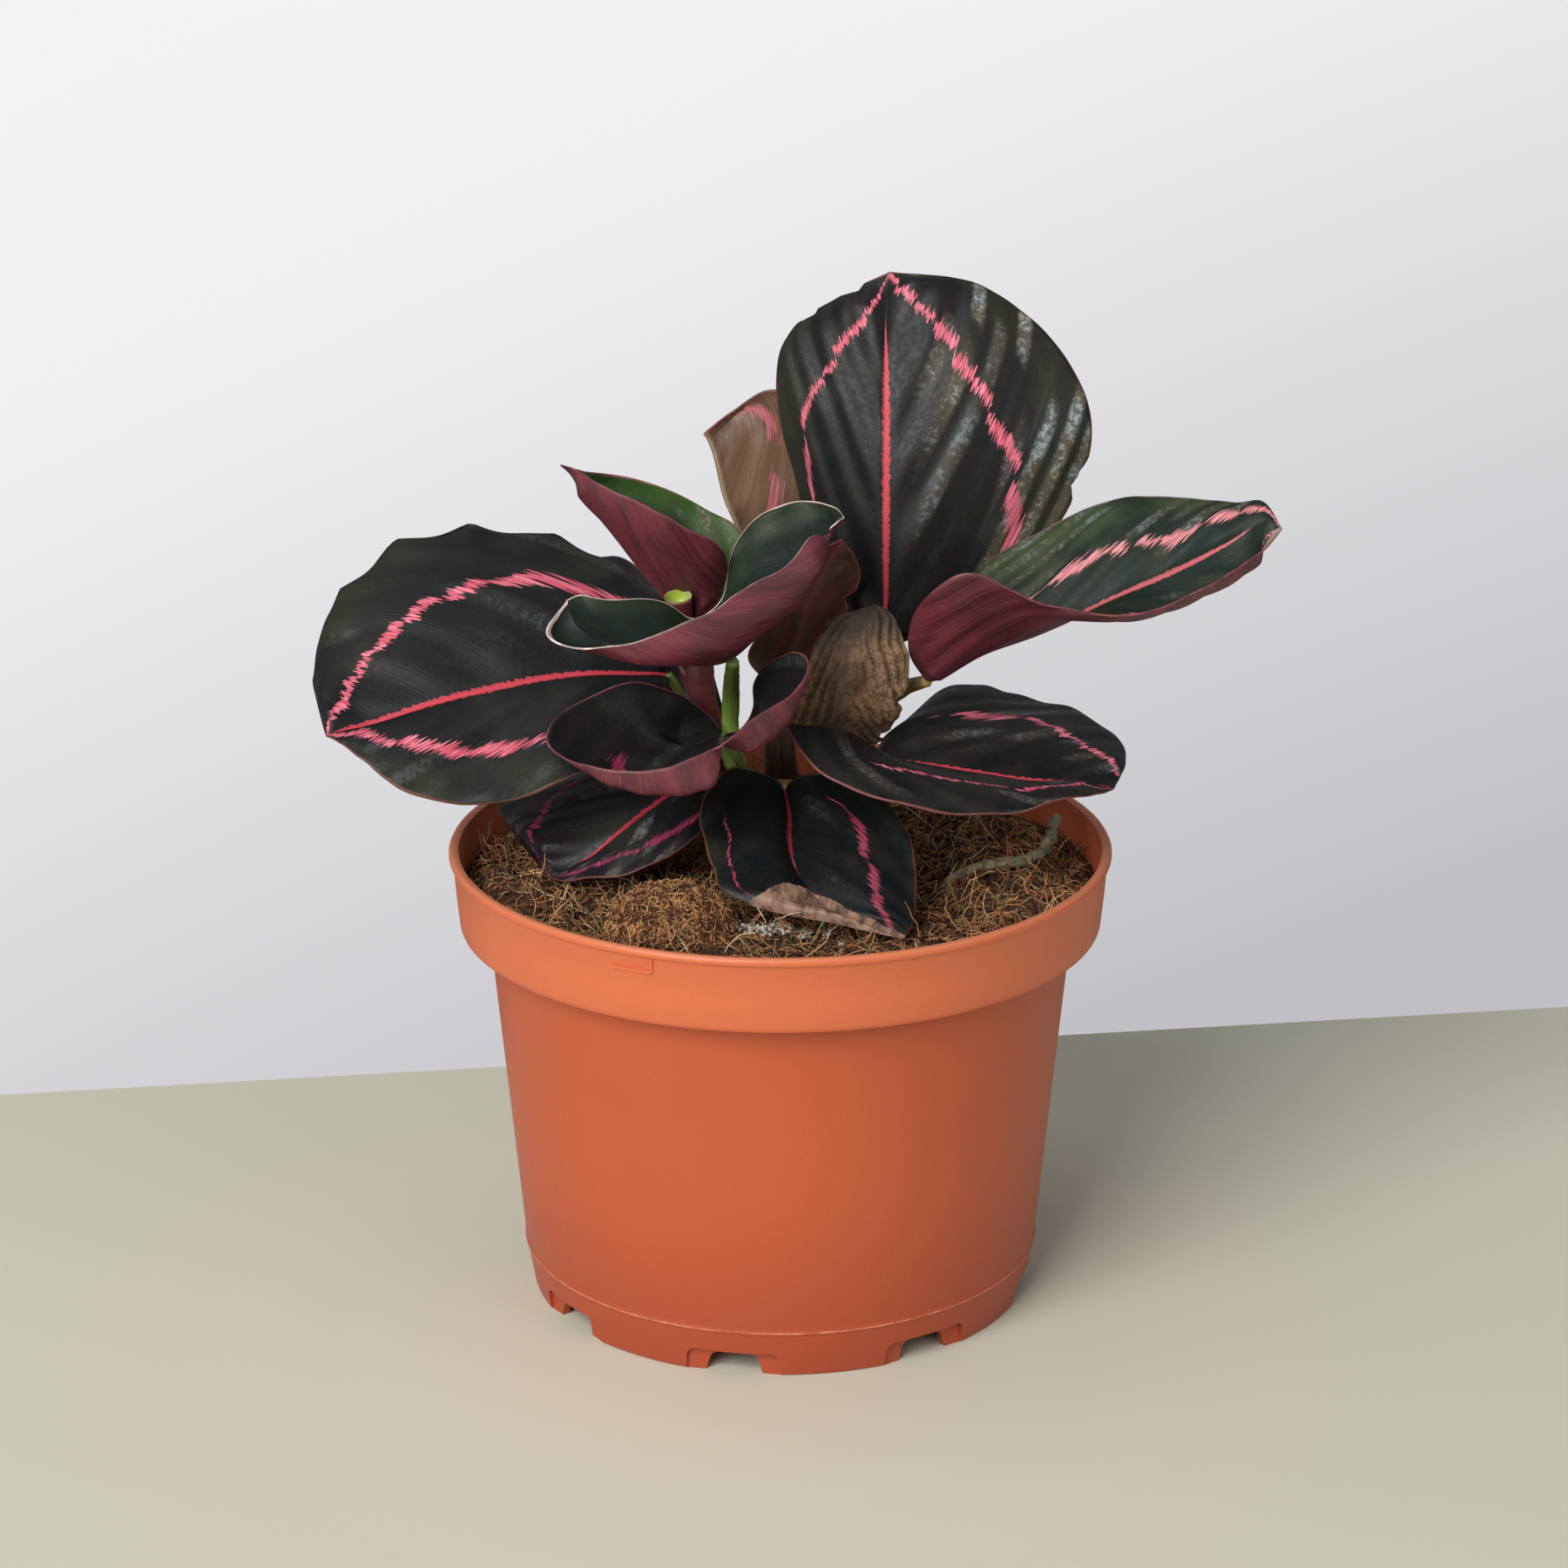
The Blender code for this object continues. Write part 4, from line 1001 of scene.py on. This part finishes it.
# A cupped leaf points at the viewer with its tip down and both halves raised.
cupped_upper = upper_finish(
    "cupped_upper", ground=(0.0125, 0.0095, 0.011), valley=(0.0095, 0.009, 0.011), seed=7.0,
    ring=(0.22, 0.02, 0.055), hatch=(0.36, 0.06, 0.11), ring_from=(0.6, 0.5), ring_width=(2.6, 2.6),
    rib=(0.1, 0.05, 0.05), rib_width=0.4, painted_sheen=(0.08, 0.12), margin=(0.3, 0.09, 0.1),
    margins=(0.15, 0.15), green=0.0,
)
blade(
    "leaf_cupped", "leaf_green", (-13, -10, 37),
    [
        ((-9, -9, 38), (-13, -15, 38), (-16, -9, 41)), ((-6, -9, 43), (-13, -19, 39), (-24, -11, 47)),
        ((-6, -12, 50), (-13, -24, 41), (-33, -12, 50)), ((-3, -17, 56), (-13, -29, 42), (-43, -16, 48)),
        ((3, -24, 61), (-13, -33, 43), (-50, -23, 45)), ((6, -33, 61), (-13, -38, 44), (-51, -33, 42)),
        ((3, -40, 57), (-13, -43, 46), (-43, -41, 40)), ((-5, -47, 53), (-13, -47, 47), (-28, -47, 41)),
    ],
    (-13, -52, 48), (-6, -8), cupped_upper, wave=0.5,
)

# A long young leaf folded along its midrib, with a thick pale margin.
folded_upper = upper_finish(
    "folded_upper", ground=(0.01, 0.017, 0.011), valley=(0.009, 0.016, 0.013), flush=(0.017, 0.028, 0.012),
    seed=8.0, ring_from=(2.0, 2.0), rib=(0.07, 0.09, 0.07), rib_width=0.4, painted_sheen=(0.05, 0.05),
    margin=(0.7, 0.55, 0.5), margins=(1.3, 0.3),
)
pale_margin = margin_finish("pale_margin", (0.8, 0.66, 0.61), (0.4, 0.17, 0.17))
blade(
    "leaf_folded", "leaf_green", (14, -14, 89),
    [
        ((11, -20, 88), (11, -16, 86), (12, -10, 90)), ((6, -26, 87), (8, -19, 79), (6, -5, 90)),
        ((1, -30, 82), (2, -22, 70), (-3, -2, 87)), ((-6, -34, 79), (-5, -25, 65), (-10, -3, 80)),
        ((-13, -37, 75), (-12, -28, 60), (-13, -8, 69)), ((-21, -39, 72), (-20, -30, 60), (-19, -14, 66)),
        ((-31, -39, 68), (-30, -29, 62), (-27, -18, 71)), ((-43, -36, 65), (-40, -29, 65), (-39, -21, 72)),
        ((-51, -31, 67), (-45, -26, 68), (-44, -21, 73)),
    ],
    (-47, -22, 72), (-4, -2), folded_upper, rim=pale_margin, quilt=0.15, wave=0.9,
    bites=((-1, 0.13, 0.035, 3.5),),
)

# The youngest leaf is half unrolled: bright green inside, wine red outside.
rolled_upper = upper_finish(
    "rolled_upper", ground=(0.02, 0.046, 0.011), valley=(0.024, 0.058, 0.013), flush=(0.045, 0.1, 0.02),
    ring_from=(2.0, 2.0), seed=9.0, rib=(0.08, 0.12, 0.04), rib_width=0.4, painted_sheen=(0.7, 0.7),
    margin=(0.3, 0.12, 0.1), margins=(0.3, 0.3),
)
blade(
    "leaf_rolled", "leaf_green", (-18, -2, 57),
    [
        ((-12, -5, 73), (-21, -1, 62), (-9, 9, 67)), ((-14, -11, 82), (-26, 0, 66), (-9, 15, 77)),
        ((-22, -14, 87), (-32, 2, 73), (-17, 18, 82)), ((-31, -13, 92), (-37, 2, 80), (-26, 17, 87)),
        ((-39, -10, 95), (-42, 2, 87), (-36, 13, 91)), ((-45, -5, 97), (-46, 1, 94), (-44, 6, 94)),
    ],
    (-49, 0, 97), (-3, -3), rolled_upper, wave=0.4,
)

# A leaf at the back left shows only a strip of its edge from the front.
blade(
    "leaf_back_left", "leaf_dark", (-12, 6, 33),
    [
        ((-19, 16, 35), (-18, 14, 42), (-17, 20, 47)), ((-31, 34, 34), (-26, 28, 47), (-19, 32, 51)),
        ((-43, 46, 37), (-35, 42, 50), (-26, 40, 54)), ((-51, 56, 42), (-44, 54, 52), (-33, 48, 59)),
        ((-54, 62, 47), (-49, 62, 52), (-40, 56, 60)),
    ],
    (-49, 66, 54), (2, 2), low_upper,
)

# A small leaf in the heart of the plant and the tall one behind it both turn
# their undersides to the front.
olive_under = under_finish("olive_underside", (0.16, 0.035, 0.035), (0.055, 0.036, 0.014), seed=3.0)
blade(
    "leaf_inner", "leaf_underside", (1, 0, 43),
    [
        ((7, 0, 49), (2, 4, 49), (-7, 0, 51)), ((12, 2, 57), (4, 6, 55), (-5, 0, 58)),
        ((16, 4, 64), (7, 7, 63), (-1, 2, 66)), ((18, 6, 71), (10, 8, 71), (6, 4, 74)),
    ],
    (14, 7, 78), (1, 1), folded_upper, olive_under, wave=0.4, bites=((-1, 0.62, 0.05, 2.2),),
)
tan_under = under_finish(
    "tan_underside", light=(0.19, 0.103, 0.06), dark=(0.11, 0.053, 0.034), vein_tone=(0.22, 0.15, 0.07),
    marks=(0.62, 0.15, 0.19),
)
blade(
    "leaf_back", "leaf_underside", (-3, 22, 57),
    [
        ((7, 38, 61), (-8, 30, 65), (-6, 44, 63)), ((14, 46, 71), (-10, 37, 72), (-7, 60, 67)),
        ((14, 50, 85), (-13, 42, 78), (-10, 66, 74)), ((8, 50, 97), (-15, 45, 86), (-12, 64, 82)),
        ((-2, 50, 102), (-16, 47, 89), (-15, 58, 88)), ((-11, 50, 97), (-17, 48, 91), (-17, 52, 91)),
    ],
    (-18, 48, 92), (2, 2), folded_upper, tan_under,
    rings=((0.2, 0.2, 0.3, 0.45, 0.6, 0.7, 0.7, 0.7), (0.6, 0.6)),
)

# The dead leaf hangs crumpled beside the stalks, brown and papery.
papery = Finish("dry_leaf", Roughness=0.75)
crease = papery.grain(papery.place((1, 1, 1.3)), 210.0, 5.0, 0.65)
fine_crease = papery.grain(papery.place((1.6, 1, 0.7)), 520.0, 3.0, 0.6)
patch = papery.grain(papery.place(), 70.0, 3.0)
level = papery.place().parts()[2]
top = level.rise(CROWN.z + 54 * MM, CROWN.z + 64 * MM)
tone = papery.mix(patch.rise(0.38, 0.62), (0.085, 0.045, 0.022), (0.27, 0.155, 0.08))
# Painted shade: dark lines along the creases and fine wrinkles.
crease_shade = abs(crease - 0.5).rise(0.0, 0.035, 0.85, 0.0)
tone = papery.mix(crease_shade, tone, (0.03, 0.015, 0.008))
tone = papery.mix(fine_crease.rise(0.36, 0.5, 0.6, 0.0), tone, (0.045, 0.022, 0.01))
papery.coat(
    Base_Color=papery.mix(0.85 * top, tone, (0.045, 0.03, 0.02)),
    Normal=papery.relief(crease, 0.5 * MM, papery.relief(fine_crease, 0.3 * MM)),
)
blade(
    "leaf_dead", "leaf_dry", (21, -2, 65),
    [
        ((25, -6, 64), (18, -8, 63), (11, -6, 62)), ((28, -10, 58), (16, -12, 58), (8, -9, 58)),
        ((29, -11, 52), (15, -14, 51), (5, -11, 52)), ((28, -11, 45), (15, -14, 45), (2, -12, 46)),
        ((26, -8, 39), (16, -11, 39), (1, -12, 40)), ((23, -6, 34), (17, -8, 34), (7, -10, 35)),
    ],
    (18, -6, 34), (1, 1), papery.material, papery.material, papery.material, pitch=7.0, slant=2.2,
    quilt=0.8,
    bites=((1, 0.2, 0.04, 2.0), (-1, 0.55, 0.05, 2.0), (1, 0.75, 0.05, 2.5), (-1, 0.8, 0.03, 2.0)),
    crumple=0.9,
)

# ---------------------------------------------------------------------------
# Leaf stalks. Each comes up out of the mix as a fleshy round stem, flushed red
# or olive, with fine ribs along it, and runs into the midrib of its blade.
STALK_RADIUS = 1.6
STEM_STEPS = (28, 56)
END_ROWS = 3
RIBS = 7


def stem(name, slot, node, points, radii, material, widths=(1.0, 1.0), ribs=0.0, lumps=0.0, hollow=0.0):
    """A stem through points in mm from the crown, closed at both ends.

    radii are spread evenly along it. widths says how much wider than deep it is
    at its foot and its top. hollow sinks the top end by that many mm.
    """
    guide = [Vector(point) for point in points]
    sizes = [Vector((radius, 0, 0)) for radius in radii]
    around_steps, along_steps = STEM_STEPS
    bm = bmesh.new()
    bm.loops.layers.uv.new("UVMap")
    bmesh.ops.create_grid(bm, x_segments=around_steps, y_segments=along_steps, size=1.0, calc_uvs=True)
    for vertex in bm.verts:
        row = round((vertex.co.y + 1) / 2 * along_steps)
        t = min(1.0, max(0.0, (row - END_ROWS) / (along_steps - 2 * END_ROWS)))
        angle = math.pi * vertex.co.x
        centre = along(guide, t)
        forward = (along(guide, t + 0.02) - along(guide, t - 0.02)).normalized()
        beside = forward.cross(Vector((0, -1, 0.2))).normalized()
        depth = beside.cross(forward)
        radius = along(sizes, t).x
        radius *= 1 + ribs * math.cos(RIBS * angle) + lumps * noise.noise((centre + beside * angle) / 2.2)
        over = (row - (along_steps - END_ROWS)) / END_ROWS
        under = (END_ROWS - row) / END_ROWS
        if over > 0:
            radius *= math.sqrt(max(0.0, 1 - over**2)) if not hollow else 1 - 0.3 * over
            centre = centre + forward * (0.5 * radii[-1] * over if not hollow else -hollow * over**2)
            if over > 0.99:
                radius = 0
        if under > 0:
            radius *= math.sqrt(max(0.0, 1 - under**2))
            centre = centre - forward * 0.5 * radii[0] * under
        wide = widths[0] + (widths[1] - widths[0]) * t
        place = centre + beside * math.sin(angle) * radius * wide + depth * math.cos(angle) * radius
        vertex.co = CROWN + place * MM
    bmesh.ops.remove_doubles(bm, verts=bm.verts, dist=0.004 * MM)
    bmesh.ops.recalc_face_normals(bm, faces=bm.faces)
    piece = new_piece(name, bm, material)
    piece.data.shade_smooth()
    settle(piece, slot, node)


def stalk_finish(name, foot, middle, top, roughness=0.42):
    """A fleshy stem that changes colour from its foot to its top, streaked along."""
    flesh = Finish(name, Roughness=roughness)
    around, up, _ = flesh.put("TexCoord", "UV", {}).parts()
    drawn_out = {0: 26.0 * around, 1: 3.0 * up}
    fine = flesh.grain(flesh.put("CombineXYZ", 0, drawn_out), 1.0, 3.0, 0.6)
    cloudy = flesh.grain(flesh.place(), 120.0, 3.0)
    height = up + (0.35 * cloudy - 0.17)
    tone = flesh.mix(height.rise(0.1, 0.5), foot, middle)
    tone = flesh.mix(height.rise(0.55, 0.9), tone, top)
    shade = fine.rise(0.35, 0.62, 0.45, 0.0)
    tone = flesh.mix(shade, tone, dim(middle, 0.4))
    flesh.coat(Base_Color=tone, Normal=flesh.relief(fine, 0.12 * MM))
    return flesh.material


olive = "stalk_olive", stalk_finish(
    "olive_stalk", (0.2, 0.15, 0.07), (0.23, 0.165, 0.055), (0.22, 0.095, 0.05)
)
green = "stalk_green", stalk_finish(
    "green_stalk", (0.34, 0.38, 0.12), (0.28, 0.42, 0.07), (0.16, 0.23, 0.045)
)
yellow = "stalk_olive", stalk_finish(
    "yellow_stalk", (0.22, 0.18, 0.08), (0.3, 0.23, 0.07), (0.34, 0.22, 0.08)
)
red = "stalk_red", stalk_finish(
    "red_stalk", (0.22, 0.075, 0.06), (0.24, 0.05, 0.06), (0.17, 0.032, 0.045)
)
dark = "stalk_red", stalk_finish(
    "dark_stalk", (0.12, 0.075, 0.035), (0.075, 0.032, 0.022), (0.085, 0.022, 0.022)
)
dry = "leaf_dry", stalk_finish(
    "dry_stalk", (0.08, 0.045, 0.025), (0.16, 0.09, 0.045), (0.1, 0.055, 0.03), 0.8
)

# Each row: the leaf it carries, its slot and finish, how thick and how flat it
# is at its foot and its top, and the points it runs through.
STALKS = (
    ("tall", olive, (1.1, 0.8), (1.1, 1.0), [(7, 7, -4), (12, 10, 14), (18, 12, 30), (23, 12, 50)]),
    ("left", green, (1.1, 0.8), (1.1, 1.0), [
        (-9.5, 5, -4), (-14.5, 6.5, 18), (-19, 6.5, 34), (-25.5, 6, 46),
    ]),
    ("right", yellow, (1.2, 1.15), (1.1, 1.0), [
        (10, -1, -4), (14, 4, 13), (19, 6, 27), (23, 6, 38), (28, 2, 44), (33, -5, 48),
    ]),
    ("lower_right", olive, (1.0, 0.7), (1.1, 1.0), [
        (6, -9, -4), (12, -9, 12), (17, -9, 24), (21, -10, 31),
    ]),
    ("front", yellow, (1.5, 1.5), (1.3, 1.9), [(1.5, -8.5, -4), (1, -8.5, 12), (1, -9, 25)]),
    ("front_left", olive, (1.0, 0.8), (1.1, 1.0), [(-7.6, -6.6, -4), (-9, -6.9, 12), (-11, -6, 28)]),
    ("cupped", green, (0.8, 0.7), (1.1, 1.0), [
        (-3.4, -8.8, -4), (-5.8, -9.8, 14), (-9.4, -9.6, 25), (-12.2, -9.8, 32), (-13, -10, 37),
    ]),
    ("folded", green, (1.1, 1.1), (1.1, 1.1), [
        (-2.6, -3.8, -4), (-5.8, -3.2, 15), (-9.8, -2.5, 28), (-11.3, -5, 36), (-11, -11, 48),
        (-10.5, -26, 59),
    ]),
    ("rolled", red, (0.9, 1.5), (1.1, 1.5), [
        (-5.5, 0.2, -4), (-10, 0, 18), (-14.5, -0.5, 30), (-18, -3, 45), (-18.3, -2.5, 57),
    ]),
    ("back_left", green, (0.9, 0.7), (1.1, 1.0), [(-6.5, 9.5, -4), (-9.5, 9.5, 16), (-12, 6, 33)]),
    ("inner", dark, (1.1, 0.9), (1.7, 1.2), [(2.5, 1.5, -4), (2, 1, 20), (1, 0, 43)]),
    ("back", dark, (1.3, 0.9), (1.5, 1.0), [(0, 8, -4), (-1, 13, 20), (-3, 20, 43), (-3, 22, 57)]),
    ("dead", dry, (0.8, 0.6), (1.1, 1.0), [(5.5, 1.5, -4), (11, -2, 14), (15, -5, 25), (18, -6, 34)]),
)
for name, (slot, flesh), (foot, top), widths, points in STALKS:
    radii = [STALK_RADIUS * size for size in (1.15 * foot, foot, (foot + top) / 2, top, 0.75 * top)]
    stem(f"stalk_{name}_stem", slot, "stalk_" + name, points, radii, flesh, widths, 0.03, 0.08)

# A new leaf, still rolled in a narrow cone with its green lip just opening.
sprout = Finish("sprout", Roughness=0.4)
around, up, _ = sprout.put("TexCoord", "UV", {}).parts()
winding = sprout.sum("FRACT", around + 1.7 * up)
line = abs(winding - 0.5).rise(0.01, 0.05, 1.0, 0.0)
tone = sprout.mix(up.rise(0.93, 0.97), (0.15, 0.028, 0.04), (0.34, 0.46, 0.06))
sprout.coat(Base_Color=sprout.mix(line, tone, (0.42, 0.3, 0.22)))
stem(
    "new_leaf", "leaf_green", "new_leaf_roll",
    [(-9.2, 2, -3), (-13.7, 2.4, 20), (-17.4, 2.4, 36), (-20.6, 1, 47), (-22.2, -3.5, 58), (-22.8, -8, 69)],
    [0.7, 0.9, 1.2, 1.6, 2.1, 2.3], sprout.material, widths=(1.0, 1.35), hollow=4.0,
)

# ---------------------------------------------------------------------------
# Twig. A bit of mossy bark wood mixed in with the peat leans on the pot wall.
twig_low, twig_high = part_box("twig")
mossy = Finish("mossy_bark", Roughness=0.9)
bark_grain = mossy.grain(mossy.place((1, 1, 2.5)), 340.0, 5.0, 0.7)
moss = mossy.grain(mossy.place(), 210.0, 4.0, 0.6).rise(0.44, 0.58)
bark = mossy.mix(bark_grain.rise(0.35, 0.65), (0.075, 0.05, 0.03), (0.38, 0.31, 0.2))
mossy.coat(Base_Color=mossy.mix(moss, bark, (0.2, 0.24, 0.13)), Normal=mossy.relief(bark_grain, 0.6 * MM))
foot = (twig_low - CROWN) / MM
head = (twig_high - CROWN) / MM
stem(
    "mossy_twig", "bark", "twig",
    [
        (foot.x - 3, foot.y - 9, 3.2), (foot.x + 5, foot.y - 3, 4.6), (foot.x + 15, foot.y, 5.2),
        (foot.x + 20, foot.y + 6, 6.0), (head.x - 1.6, head.y - 7, head.z),
    ],
    [1.1, 1.3, 1.45, 1.3, 1.4, 1.3], mossy.material, lumps=0.5,
)

low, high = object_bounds()
